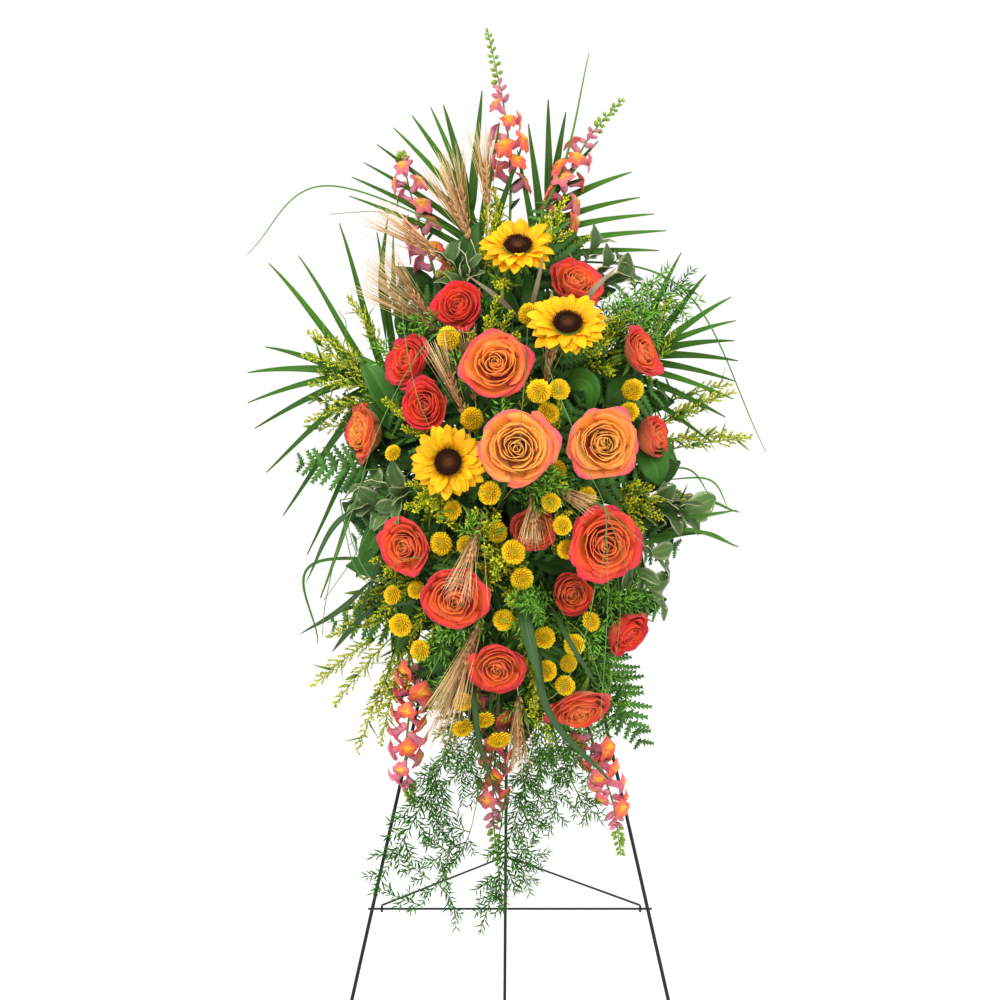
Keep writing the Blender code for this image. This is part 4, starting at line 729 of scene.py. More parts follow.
# Snapdragon: soft matt lips, green at the foot, rose pink on the tube and yellow in the throat
LIP_SKIN = {"glow": 0.25, "veins": 14, "depth": 0.12, "sheen": 0.2, "spread": 0.36, "fade": 0.04}
grown("snapdragon_petal",
      {0: "B4BC64", 0.1: "DA94A0", 0.34: "D27A8C", 0.5: "DE6C70", 0.72: "E66E58",
       0.84: "F08E4C", 0.93: "F9B83A", 1: "F2A62E"}, "D47488", 0.58, **LIP_SKIN)
grown("snapdragon_petal_pink",
      {0: "B4BC64", 0.1: "E0A4B0", 0.34: "D88EA6", 0.5: "DC8098", 0.72: "D8727C",
       0.84: "E28E68", 0.93: "F2B850", 1: "E8A848"}, "CE7E9A", 0.58, **LIP_SKIN)
# Its closed buds: downy and matt, green at the tip of the spike, pink before they open
grown("snapdragon_bud", {0: "6C9A34", 0.6: "8EB046", 1: "C09C68"}, "86A844", 0.6,
      glow=0.1, spread=0.35, fade=0.05)
grown("snapdragon_bud_pink", {0: "8C9E48", 0.18: "D49AA4", 0.7: "CC8296", 1: "DCAA94"},
      "CC8296", 0.6, glow=0.2, veins=8, spread=0.35, fade=0.05)

# Button pom: matt yellow quills that darken towards the foot, round a greenish heart
grown("pom_petal", {0: "C88E04", 0.4: "F8C408", 1: "FFE02C"}, "EEBA10", 0.6,
      glow=0.2, depth=0.08, spread=0.36, mottle=3.0)
grown("pom_heart", {0: "8C8C22", 1: "CDB428"}, "8C8C22", 0.7, depth=0.2, mottle=1.5)

# Goldenrod: dusty heads under 3 mm, drawn larger so that they show, yellow or still green
DUSTY_SKIN = {"glow": 0.1, "spread": 0.6, "mottle": 2.0}
grown("solidago_floret", {0: "A2B636", 0.5: "D0D232", 1: "F0E63E"}, "C6CE40", 0.75,
      **DUSTY_SKIN)
grown("solidago_bud", {0: "9CB640", 0.5: "C6CC48", 1: "E6DE54"}, "AABC46", 0.75, **DUSTY_SKIN)
grown("solidago_stem", {0: "729636", 1: "98B244"}, "729636", 0.6, depth=0.05)

# Dry straw: matt husks with a paler edge, hair-thin awns drawn a little thicker so that they show
grown("wheat_husk", {0: "A87E54", 0.5: "D4A87A", 1: "F0D2A8"}, "C0966C", 0.8,
      veins=8, depth=0.12, spread=0.5, mottle=2.0)
grown("wheat_awn", {0: "CCA06C", 1: "F4DAB0"}, "CCA06C", 0.75, depth=0.03, spread=0.6)

# Palm: leathery and half glossy, folded along a pale rib
grown("palm_blade", {0: "44741F", 0.6: "3A6814", 1: "64882C"}, "4C7C26", 0.42,
      rib="86AA48", veins=16, spread=0.55)

# Leatherleaf and needle fern: satin green, one shade for the strands and a brighter copy with painted light
# for the tufts among the blooms, which lie in shaded gaps
NEEDLE_SKIN = {"depth": 0.02, "spread": 0.7}
grown("fern_blade", {0: "366428", 1: "5C8A3E"}, "56823E", 0.5,
      rib="5E8A4C", veins=9, depth=0.12, spread=0.7)
grown("asparagus_needle", {0: "386C20", 1: "569030"}, "386C20", 0.55, **NEEDLE_SKIN)
grown("painted_light_needle", {0: "62A02E", 1: "9CD05A"}, "62A02E", 0.55, **dict(NEEDLE_SKIN, spread=0.8))
grown("asparagus_stem", {0: "4C7A2C", 1: "6A9838"}, "4C7A2C", 0.6, depth=0.02)

# Pittosporum: leathery grey-green with a cream edge
grown("pittosporum_blade", {0: "4E6E3A", 1: "446236"}, "64804C", 0.45, edge="FFF8D0",
      edge_from=0.62, rib="8CA46A", veins=7, depth=0.12, spread=0.5, mottle=9.0, fade=0.05)

# Broad leaf: smooth and fairly glossy with a pale rib; the second is a darker copy with painted shade, for
# leaves deep in the spray
BROAD_SKIN = {"veins": 18, "depth": 0.14, "spread": 0.55}
grown("broad_blade", {0: "28561A", 0.7: "2E601E", 1: "467628"}, "4E7C36", 0.34,
      rib="6E9A4A", **BROAD_SKIN)
grown("painted_shade_blade", {0: "1E4616", 0.7: "244E1A", 1: "346022"}, "38602A", 0.5,
      rib="4C7434", **BROAD_SKIN)

# Grass and lily leaves: long satin blades, from fresh green through dark blue-green to dry silver
grown("grass_blade", {0: "48782A", 0.7: "588834", 1: "869C44"}, "588834", 0.45,
      veins=8, depth=0.06, spread=0.4)
grown("grass_strand", {0: "5A8642", 0.6: "76985A", 1: "A6A264"}, "76985A", 0.5, depth=0.03)
grown("lily_blade", {0: "2A4224", 0.7: "3E5834", 1: "66804C"}, "4A663C", 0.45,
      rib="6A8A62", veins=14, spread=0.4)
grown("silver_blade", {0: "7C6C58", 1: "A89680"}, "94866E", 0.55,
      rib="C2B49A", veins=7, spread=0.4)

# Stems and bracts: smooth young green, duller than the leaves
grown("green_stem", {0: "527C2A", 1: "689238"}, "527C2A", 0.5, depth=0.05)
grown("green_bract", {0: "5C8C2E", 1: "90AE4A"}, "6C9A3A", 0.55,
      rib="98B25C", veins=7)

# Enamelled steel wire: dark green-black with a soft shine and fine orange peel
made("enamelled_wire_paint", "12241F", "081410", 0.42, 3.0, 0.05, coat=0.1)
# Moulded polypropylene: satin, slightly uneven
made("moulded_cage", "2B6A3C", "1E5230", 0.42, 5.0, 0.05)
# Phenolic flower foam, wet: matt, open cells under a millimetre, drawn at 1.5 mm so that they show
made("wet_flower_foam", "3E6B42", "26482C", 0.9, 1.5, 0.6)

# Roses

# How petals open from heart to rim: share, then (reach, height) of the curve from claw to lip
OPENING = [
    (0, (0.03, -0.42), (0.1, -0.22), (0.1, 0.06), (0.03, 0.17)),
    (0.2, (0.05, -0.45), (0.2, -0.3), (0.22, 0.04), (0.16, 0.2)),
    (0.42, (0.07, -0.48), (0.35, -0.36), (0.36, 0.04), (0.34, 0.2)),
    (0.6, (0.08, -0.5), (0.5, -0.42), (0.5, 0), (0.56, 0.15)),
    (0.8, (0.09, -0.53), (0.64, -0.48), (0.67, -0.05), (0.84, 0.06)),
    (1, (0.1, -0.56), (0.72, -0.56), (0.8, -0.18), (1.07, -0.07)),
]

# Rings of petals from the heart out: from and to (shares of the opening), petals, half width, points across
PETAL_RINGS = [(0, 0.45, 18, 1.1, 7), (0.48, 0.58, 6, 0.92, 9), (0.66, 0.74, 5, 0.98, 9),
               (0.82, 0.9, 5, 1.02, 11), (0.95, 1, 6, 0.92, 11)]

# In shares of the rose's radius: hip, petal thickness at heart and rim, sepals
HIP = [(0, -0.74), (0.1, -0.72), (0.15, -0.62), (0.13, -0.5), (0, -0.48)]
PETAL_THICK = 0.014
RIM_THICKER = 0.004
SEPALS = 5
SEPAL_HALF = 0.11

ROSE_STEM = 2.4 * MM
ROSE_FORK = 2.6 * MM
ROSE_BRANCH = 2.3 * MM
ROSE_LEAF = (0.045, 0.013)


def opening_at(share):
    for low, high in zip(OPENING, OPENING[1:]):
        if share <= high[0]:
            t = (share - low[0]) / (high[0] - low[0])
            return [np.array(a) * (1 - t) + np.array(b) * t for a, b in zip(low[1:], high[1:])]
    return [np.array(p) for p in OPENING[-1][1:]]


def rose_petal(share, turn, wide, draw, cols):
    """One petal round the Z axis: curled in the heart, cupped, then turned back at the rim."""
    a, b, c, d = opening_at(share)
    u = np.linspace(0, 1, 7 if cols == 7 else 8)[:, None]
    v = np.linspace(-1, 1, cols)[None, :]

    # The lip is rounded, sometimes pointed, and waved
    peak = draw.uniform(-0.02, 0.05)
    phase = draw.uniform(0, tau)
    lip = 1 - 0.17 * np.abs(v) ** 2.4 + peak * np.clip(1 - 2.5 * np.abs(v), 0, 1)
    lip = lip + (0.01 + 0.03 * share) * np.sin(v * draw.uniform(5, 8) + phase)
    t = np.clip(u * lip, 0, 1.1)
    reach, height = (a[i] * (1 - t) ** 3 + 3 * b[i] * (1 - t) ** 2 * t + 3 * c[i] * (1 - t) * t * t
                     + d[i] * t ** 3 for i in (0, 1))
    span = wide * draw.uniform(0.85, 1.15) * (0.4 + 0.6 * np.sin(np.clip(t, 0, 1) * pi * 0.52))

    # Outer petals are ruffled, lean to one side and curl back at the lip
    late = t ** 4 * (0.25 + 0.75 * share)
    lean = draw.uniform(-0.08, 0.08)
    height = height + late * 0.08 * np.sin(v * draw.uniform(2.5, 5) + phase)
    height = height + draw.uniform(-0.025, 0.025) + late * draw.uniform(-0.1, 0.08)
    reach = (reach * (1 + late * draw.uniform(-0.14, 0.04))
             + late * 0.06 * np.sin(v * draw.uniform(2.5, 4) + phase * 1.7))
    reach = reach + lean * v * t
    curl = t ** 8 * share
    reach = reach + curl * (0.05 + 0.06 * v ** 2)
    height = height - curl * (0.05 + 0.1 * v ** 2)
    angle = turn + v * span
    grid = np.stack([reach * np.cos(angle), reach * np.sin(angle), height * np.ones_like(angle)], axis=2)
    return grid, t


def rose_bloom(piece, place, turn, lift, radius, stretch, look, key):
    """A garden rose of forty petals, its cup and five sepals; a small one is less open."""
    draw = random.Random(key)
    spin = Matrix.Rotation(draw.uniform(0, tau), 4, "Z")
    turned_to = axes_along(heading(turn, lift), RIGHT).to_4x4() @ spin
    matrix = Matrix.Translation(place) @ turned_to @ Matrix.Diagonal((radius, radius, radius * stretch, 1))
    opened = min(1, 0.6 + (radius - 0.03) * 16)
    widen = 1 / opening_at(opened)[3][0]
    for ring, (low, high, count, wide, cols) in enumerate(PETAL_RINGS):
        start = draw.uniform(0, tau)
        for i in range(count):
            share = low + (high - low) * i / (count - 1)
            step = GOLDEN * i if ring == 0 else tau * ((i * 2 % count + (i * 2 // count)) / count)
            grid, t = rose_petal(share * opened, start + step + draw.uniform(-0.3, 0.3), wide, draw, cols)
            grid[:, :, :2] *= 1 + (widen - 1) * share
            along = np.clip(t * (0.36 + 0.64 * share ** 1.3), 0, 1)
            own = 0.25 + 0.35 * share + draw.uniform(-0.25, 0.3)
            piece.add(sheet(grid, PETAL_THICK + RIM_THICKER * share, along), look, matrix,
                      own=min(1, max(0, own)))

    # The cup closes the bloom from below
    a, b, c, d = opening_at(0.7 * opened)
    cup = bezier(a, b, c, (c + d) / 2, 6) * (1 + (widen - 1) * 0.7, 1)
    rim = [(r * 0.96, h + 0.015) for r, h in cup[::-1]]
    piece.add(turned([(0, a[1] - 0.02), *cup, *rim, (0, a[1])], 12), look, matrix, own=0.3)
    piece.add(turned(HIP, 10), "green_bract", matrix, own=0.5)
    for k in range(SEPALS):
        out = spoke(tau * k / SEPALS + draw.uniform(-0.2, 0.2))
        start = out * 0.08 + np.array([0, 0, -0.56])
        path = bezier(start, *(start + out * far + np.array([0, 0, -drop])
                               for far, drop in ((0.3, 0.05), (0.5, 0.16), (0.62, 0.34))), 6)
        width = SEPAL_HALF * np.sin(np.linspace(0.25, 0.97, 6) * pi)
        piece.add(ribbon(path, width, 0.15, out, 3, PETAL_THICK), "green_bract", matrix, own=draw.random())


def leaf_form(length, half, cols=7, rows=9, teeth=False):
    """A folded, drooping leaf along X from its foot; its face is +Z."""
    droop = 0.2
    t = np.linspace(0, 1, rows)
    width = half * np.sin(pi * np.clip(t, 0.02, 0.985) ** 0.85)
    if teeth:
        width = width * (1 + 0.1 * np.where(np.arange(rows) % 2 == 0, 1, -1) * np.sin(pi * t))
    path = np.column_stack([t * length * (1 - 0.1 * droop), np.zeros(rows), -droop * length * t ** 2])
    return ribbon(path, width, 0.18, (0, 0, 1), cols)


def rose_group(node):
    """The roses of one node on their stem, each with three leaves under it."""
    rows = [(i, row) for i, row in enumerate(ROSES) if row[0] == node]
    piece = Piece(node + "_bloom", node)
    draw = piece.draw
    feet = []
    for index, (_, x, z, front, turn, lift, diameter, stretch, look) in rows:
        place = point(x, z, front)
        ahead = heading(turn, lift)
        radius = diameter * CM / 2
        rose_bloom(piece, place, turn, lift, radius, stretch, look, "rose %d" % index)
        feet.append((place - ahead * (0.6 * radius * stretch), ahead))
    if len(feet) == 1:
        stem_to(piece, node, *feet[0], ROSE_STEM)
    else:
        hub = point(*ROSE_FORKS[node])
        fork_stem(piece, node, hub, ROSE_FORK)
        for foot, ahead in feet:
            stalk(piece, hub, foot, ahead, ROSE_BRANCH)
    for foot, ahead in feet:
        for k in range(3):
            out = out_from(ahead, tau * (k / 3 + draw.random() * 0.2))
            start = foot - ahead * (0.012 + 0.008 * k)
            way = (out + ahead * draw.uniform(-0.1, 0.5)).normalized()
            piece.add(leaf_form(*ROSE_LEAF, teeth=True), "broad_blade", leaf_seat(start, way, ahead))
    settle(piece, ROSE_SLOTS.get(node, rows[0][1][8]), node)


# Sunflowers, in shares of the head's radius

# Rings of ray petals: half a step of turn, petals, reach, rise, half width
RAYS = [(0, 17, 0.98, 0.2, 0.155), (1, 17, 1, 0.02, 0.165), (2, 9, 0.88, 0.34, 0.13)]
RAY_THICK = 0.012
BRACTS = 22
FLORETS = 330
DISC_REACH = 0.335
HEAD_BACK = [(0, -0.26), (0.1, -0.24), (0.3, -0.16), (0.37, -0.06), (0.33, 0), (0, 0.01)]
DISC_DOME = [(0, 0.035), (0.3, 0.035), (0.33, 0.08), (0.27, 0.115), (0.16, 0.1), (0, 0.075)]
DISC_FLORET = [(0, -0.02), (0.013, 0.01), (0, 0.04)]
SUNFLOWER_STEM = 3 * MM


def sunflower_rays(piece, matrix):
    draw = piece.draw
    up = np.array([0, 0, 1.0])
    for row, count, reach, rise, half in RAYS:
        for k in range(count):
            out = spoke(tau * (k + 0.5 * row + draw.uniform(-0.22, 0.22)) / count)
            length = reach * draw.uniform(0.86, 1)
            tilt = rise + draw.uniform(-0.1, 0.1)
            start = out * 0.26 + up * (-0.05 - 0.02 * row)
            bend = draw.uniform(-0.14, 0.05)
            end = out * length * cos(tilt) + up * (sin(tilt) * length * 0.7 + bend)
            side = np.array([-out[1], out[0], 0]) * draw.uniform(-0.06, 0.06)
            path = bezier(start, start + out * 0.22 + up * (0.1 * tilt + 0.06),
                          end - out * 0.25 + up * 0.06 + side, end + side, 9)
            t = np.linspace(0, 1, 9)
            width = (half * draw.uniform(0.85, 1.1) * np.minimum(1, 0.45 + 1.6 * t)
                     * np.maximum(1 - t ** 6, 0.03))
            piece.add(ribbon(path, width, 0.2, up, 7, RAY_THICK, 0.16, 1.1), "sunflower_petal", matrix)
    for k in range(BRACTS):
        out = spoke(tau * (k + draw.uniform(-0.3, 0.3)) / BRACTS)
        start = out * 0.2 - up * 0.14
        path = bezier(start, start + out * 0.2, start + out * 0.34 - up * 0.02,
                      start + out * draw.uniform(0.45, 0.6) - up * draw.uniform(0, 0.16), 6)
        width = 0.075 * np.sin(np.linspace(0.35, 0.97, 6) * pi)
        piece.add(ribbon(path, width, 0.2, up, 5, RAY_THICK), "green_bract", matrix)


def sunflower_disc(disc, matrix):
    """The dome of florets: packed by the golden angle, taller and browner towards the rim."""
    disc.add(turned(DISC_DOME, 20), "sunflower_floret", matrix, own=0.2)
    floret = turned(DISC_FLORET, 5)
    for i in range(FLORETS):
        share = (i + 0.5) / FLORETS
        reach = DISC_REACH * sqrt(share)
        angle = GOLDEN * i
        rise = 0.085 + 0.035 * sin(share * pi * 0.95) - (0.03 if share < 0.1 else 0)
        tall = 0.8 + 1.3 * max(0, share - 0.45) + disc.draw.uniform(-0.15, 0.15)
        lean = Vector((cos(angle) * share * 0.9, sin(angle) * share * 0.9, 1))
        spot = Vector((cos(angle) * reach, sin(angle) * reach, rise))
        m = matrix @ Matrix.Translation(spot) @ axes_along(lean, RIGHT).to_4x4()
        m = m @ Matrix.Diagonal((1, 1, tall * 1.2, 1))
        own = 0.25 + 0.6 * (share > 0.55) * disc.draw.random()
        disc.add(floret, "sunflower_heart" if share < 0.28 else "sunflower_floret", m, own=own)


def sunflower_bloom(name, x, z, front, turn, lift, diameter):
    place = point(x, z, front)
    radius = diameter * CM / 2
    ahead = heading(turn, lift)
    matrix = seat(place, ahead, RIGHT, radius)
    piece = Piece(name + "_bloom", name + " look")
    sunflower_rays(piece, matrix)
    piece.add(turned(HEAD_BACK, 18), "green_bract", matrix, own=0.4)
    stem_to(piece, name, place - ahead * (0.22 * radius), ahead, SUNFLOWER_STEM)
    settle(piece, "sunflower_gold", name)
    disc = Piece(name + "_florets", None)
    disc.draw = piece.draw
    sunflower_disc(disc, matrix)
    settle(disc, "sunflower_disc", name + "_disc")


# Snapdragons

# Rings of one floret from its foot out: reach, height, and how far it flares into lobes
FLORET_RINGS = [(0.1, 0, 0), (0.2, 0.06, 0), (0.26, 0.3, 0), (0.24, 0.55, 0), (0.3, 0.85, 0),
                (0.36, 1.02, 0.15), (0.46, 1.14, 0.6), (0.62, 1.16, 1), (0.6, 1.2, 1),
                (0.42, 1.2, 0.5), (0.24, 1.12, 0.2), (0.12, 1.16, 0)]
POUCH = (1, 2)
THROAT = (9, 10)

# Buds and calyx, one unit long
BUD = turned([(0, 0), (0.17, 0.08), (0.25, 0.35), (0.22, 0.65), (0.12, 0.88), (0, 1)], 7)
TIGHT_BUD = turned([(0, 0), (0.26, 0.2), (0.34, 0.55), (0.2, 0.85), (0, 1)], 6)
CALYX = turned([(0, 0), (0.22, 0.2), (0.2, 0.6), (0, 1)], 5)

SNAPDRAGON_STEM = 1.9 * MM
FLORET_SIZE = 2.35 * CM
BUD_SIZE = 1.75 * CM
TIGHT_SIZE = 1.05 * CM
# Florets stand this far apart on an upright spike, and on a hanging one
UPRIGHT_STEP = 0.0135
HANGING_STEP = 0.0108
CLOSING_BUDS = 6


def snapdragon_form():
    """One floret along Z: a pouched tube, three lower and two upper lips, and the yellow palate."""
    sides = 16
    points, along, around = [], [], []
    for i, (reach, height, flare) in enumerate(FLORET_RINGS):
        for k in range(sides):
            angle = tau * k / sides
            up = sin(angle)
            lobes = 0.64 + 0.48 * abs(cos(angle * 2.5 + pi * 0.25)) ** 0.8
            wide = reach * (1 + flare * (lobes - 0.85))
            x = wide * cos(angle) * (0.95 + 0.1 * flare)
            y = wide * up * (1 + 0.25 * flare)
            z = height - flare * 0.22 * abs(up) ** 1.5 + (0.16 if up < 0 and i >= THROAT[0] else 0)
            z = z + 0.05 * flare * sin(5 * angle + 1)
            points.append((x, y - (0.06 if i in POUCH and up < 0 else 0), z))
            along.append(i / len(FLORET_RINGS) + (0.11 if up < -0.2 and i in THROAT else 0))
            around.append(k / sides)
    points += [(0, 0, -0.03), (0, 0, 1.2)]
    along += [0, 1]
    around += [0.5, 0.5]
    foot = len(points) - 2
    last = (len(FLORET_RINGS) - 1) * sides
    faces = ring_faces(len(FLORET_RINGS), sides)
    faces += [(foot, (k + 1) % sides, k) for k in range(sides)]
    faces += [(last + k, last + (k + 1) % sides, foot + 1) for k in range(sides)]
    return Form(points, faces, along, around, np.zeros(len(points)))


SNAPDRAGON_FLORET = snapdragon_form()


def snapdragon_spike(name, spots, buds, first, flowered):
    """A spike: open florets from first to flowered along the stem, then closing buds, then tight ones."""
    piece, places = planted(name, "_spike", spots, SNAPDRAGON_STEM)
    draw = piece.draw
    path = through(places, 24)
    piece.add(tube(path, np.linspace(2.1, 0.8, len(path)) * MM, 6), "green_bract", own=0.6)
    marks = np.concatenate([[0], np.cumsum(np.linalg.norm(np.diff(path, axis=0), axis=1))])
    ahead_all = frames_on(path, (0.1, 1, 0.1))[0]
    step = UPRIGHT_STEP if places[-1].z > 1 else HANGING_STEP
    opened = int(marks[-1] * (flowered - first) / step) + 1
    closed = opened + CLOSING_BUDS
    total = closed + buds * 2 + 2
    for i in range(total):
        if i < opened:
            share = first + (flowered - first) * i / opened
        else:
            share = flowered + 0.01 + (0.98 - flowered) * ((i - opened) / (total - opened)) ** 0.85
        k = max(1, min(np.searchsorted(marks, share * marks[-1]), len(path) - 1))
        t = (share * marks[-1] - marks[k - 1]) / (marks[k] - marks[k - 1])
        spot = Vector(path[k - 1] * (1 - t) + path[k] * t)
        ahead = Vector(ahead_all[k])
        out = out_from(ahead, GOLDEN * i + draw.uniform(-0.4, 0.4))
        if out.y > 0.35:
            out = (out + Vector((0, -1, 0))).normalized()
        if i < opened:
            up = ahead if ahead.z > 0 else -ahead
            size = FLORET_SIZE * (1 - 0.26 * i / opened) * draw.uniform(0.85, 1.08)
            way = (out + ahead * draw.uniform(0.3, 0.9)).normalized()
            look = "snapdragon_petal" if draw.random() < 0.85 - 0.7 * i / opened else "snapdragon_petal_pink"
            piece.add(SNAPDRAGON_FLORET, look, seat(spot + out * 1.5 * MM, way, way.cross(up), size))
            for j in range(3):
                lean = (way + out_from(ahead, j * 2.1) * 0.5).normalized()
                matrix = seat(spot + out * 1.2 * MM, lean, ahead, size * 0.28)
                piece.add(CALYX, "green_bract", matrix, own=0.4)
        elif i < closed:
            size = BUD_SIZE * (1 - 0.07 * (i - opened)) * draw.uniform(0.9, 1.1)
            way = (out + ahead * draw.uniform(0.3, 0.8)).normalized()
            piece.add(BUD, "snapdragon_bud_pink", seat(spot, way, ahead, size))
            piece.add(CALYX, "green_bract", seat(spot, way, ahead, size * 0.42), own=0.5)
        else:
            late = (i - closed) / (total - closed)
            size = TIGHT_SIZE * (1 - 0.42 * late) * draw.uniform(0.85, 1.1)
            way = (out + ahead * (0.4 + 0.8 * late)).normalized()
            piece.add(TIGHT_BUD, "snapdragon_bud", seat(spot + out * 1.5 * MM, way, ahead, size))
    for k in range(6):
        ahead = Vector(ahead_all[k])
        way = (out_from(ahead, k * 2.2) + ahead * 0.6).normalized()
        piece.add(leaf_form(0.032, 0.0035, 5, 7), "broad_blade", leaf_seat(Vector(path[1 + k]), way, ahead))
    settle(piece, "snapdragon_pink", name)


# Button poms, in shares of the head's radius

POM_PETALS = 104
POM_HEART = 0.1
POM_BRACTS = 7
POM_CORE = [(0, -0.45), (0.35, -0.4), (0.6, -0.1), (0.58, 0.18), (0.3, 0.34), (0, 0.36)]
# Heads that hang lower than this look down
POM_LOW = 63


# A short spoon-shaped petal along Z, one unit long
OUTLINE = [(-0.1, 0), (-0.22, 0.45), (-0.18, 0.9), (0, 1), (0.18, 0.9), (0.22, 0.45), (0.1, 0)]
POM_PETAL = leaflet([(x, -0.12 * z, z) for x, z in OUTLINE] + [(0, 0.06, 0.55), (0, -0.16, 0.55)],
                    [z for x, z in OUTLINE] + [0.55, 0.55], [0.5 + 2 * x for x, z in OUTLINE], 1, 0)


def pom_head(piece, matrix):
    draw = piece.draw
    piece.add(turned(POM_CORE, 10), "pom_heart", matrix, own=0.5)
    for i in range(POM_PETALS):
        share = (i + 0.5) / POM_PETALS
        tilt = share ** 0.62 * radians(118)
        angle = GOLDEN * i
        out = Vector((sin(tilt) * cos(angle), sin(tilt) * sin(angle), cos(tilt)))
        if share < POM_HEART:
            m = matrix @ seat(Vector((0, 0, 0.05)) + out * 0.28, out, UP, 0.16)
            piece.add(POM_PETAL, "pom_heart", m)
            continue
        root = Vector((out.x * 0.42, out.y * 0.42, out.z * 0.24))
        lean = (out + Vector((0, 0, 0.35))).normalized()
        length = (0.3 + 0.34 * min(1, share * 1.6)) * draw.uniform(0.92, 1.08)
        m = matrix @ seat(root, lean, out.cross(UP) + Vector((1e-3, 0, 0)), length)
        piece.add(POM_PETAL, "pom_petal", m, own=draw.random() * 0.6 + 0.4 * share)
    for k in range(POM_BRACTS):
        out = spoke(tau * k / POM_BRACTS)
        start = out * 0.1 + np.array([0, 0, -0.5])
        path = bezier(start, start + out * 0.15, start + out * 0.35 + np.array([0, 0, 0.05]),
                      start + out * 0.5 + np.array([0, 0, 0.2]), 4)
        bract = ribbon(path, [0.1, 0.12, 0.09, 0.02], 0.1, (0, 0, 1), 3, 0.03)
        piece.add(bract, "green_bract", matrix, own=0.5)


def pom_group(name, spot, heads):
    piece, hub = branched(name, "_heads", spot, 1.8 * MM)
    draw = piece.draw
    for x, z, front, size in heads:
        place = point(x, z, front)
        radius = size * CM / 2
        ahead = ((place - hub).normalized() + heading(0, 10)).normalized()
        stalk(piece, hub, place - ahead * (0.6 * radius), ahead, 1.2 * MM)
        lift = draw.uniform(-70, -35) if z < POM_LOW else draw.uniform(-25, 35)
        face = (ahead * 0.6 + heading(draw.uniform(-50, 50), lift)).normalized()
        pom_head(piece, seat(place - face * (0.15 * radius), face, RIGHT, radius))
    settle(piece, "pom_yellow", name)


# Leatherleaf fern

def pinna_blade(pinna, over, up, half):
    """One pinna of leatherleaf, cut into forward-pointing teeth."""
    rows = 2 * len(pinna) - 1
    t = np.linspace(0, 1, rows)
    marks = np.linspace(0, 1, len(pinna))
    mid = np.stack([np.interp(t, marks, pinna[:, k]) for k in range(3)], axis=1)
    ahead = np.gradient(mid, axis=0)
    tooth = np.arange(rows) % 2 == 1
    reach = (half * (1 - t) ** 0.55 + 1.2 * MM) * np.where(tooth, 1, 0.34)
    forward = ahead * np.where(tooth, 1.3, 0)[:, None]
    over, up = np.array(over), np.array(up)
    edges = [mid + forward + (over * hand - up * 0.18) * reach[:, None] for hand in (-1, 1)]
    return sheet(np.stack([edges[0], mid, edges[1]], axis=1), 0.5 * MM)


def fern_frond(piece, path, reach, pairs, facing):
    """A leatherleaf frond: a rib and pairs of toothed pinnae that shorten to the tip."""
    draw = piece.draw
    piece.add(tube(path, np.linspace(1.3, 0.5, len(path)) * MM, 4), "green_stem", own=0.3)
    ahead, side, face = frames_on(path, facing)
    rows = len(path) - 1
    gap = np.linalg.norm(np.diff(path, axis=0), axis=1).sum() / pairs
    for i in range(pairs):
        for hand in (-1, 1):
            share = (i + 0.3 + draw.uniform(-0.15, 0.15)) / pairs
            k = min(int(share * rows), rows - 1)
            spot = place_on(path, share * rows)
            way = Vector(ahead[k])
            up = (Vector(face[k]) + Vector(side[k]) * draw.uniform(-0.35, 0.35)).normalized()
            length = (reach * (1 - share) ** 0.85 + 0.01) * draw.uniform(0.84, 1.08)
            out = (Vector(side[k]) * hand * 0.9 + way * draw.uniform(0.36, 0.62)).normalized()
            end = (spot + out * length - up * length * draw.uniform(0, 0.3)
                   + way * length * draw.uniform(0.02, 0.16))
            teeth = max(4, int(length / (5.6 * MM)))
            pinna = bezier(spot, spot + out * length * 0.4 + up * 0.003, end - out * length * 0.3, end,
                           teeth + 1)
            half = min(0.56 * gap, 0.26 * length) * draw.uniform(0.9, 1.1)
            piece.add(pinna_blade(pinna, out.cross(up), up, half), "fern_blade")


def leatherleaf_frond(name, spots, reach, pairs):
    piece, places = planted(name, "_frond", spots, 1.6 * MM, seed="")
    fern_frond(piece, through(places, 14), reach * CM, pairs * 2 + 1, (0, -1, 0.3))
    settle(piece, "fern_green", name)


# Goldenrod

SOLIDAGO_HEAD = turned([(0, -0.5), (0.38, 0), (0, 0.6)], 3)
OUTER_SOLIDAGO = ("solidago_left", "solidago_low_left", "solidago_right")
# The flowering end of a plume, and how far apart heads stand on a twig and leaves on the stem
PLUME_END = 0.11
HEAD_STEP = 1.9 * MM
LEAF_STEP = 22 * MM
PLUME_LEAF = (0.03, 0.012, 0.02, 1)

# A small leaf along X, one unit long, raised along its midrib
EDGE = [(0, 0), (0.18, -0.27), (0.6, -0.2), (1, 0), (0.6, 0.2), (0.18, 0.27)]
LEAFLET = leaflet([(x, y, -0.1 * x * x) for x, y in EDGE] + [(0.4, 0, 0.04), (0.4, 0, -0.04)],
                  [x for x, y in EDGE] + [0.4, 0.4], [0.5 + y for x, y in EDGE], 0, 1)


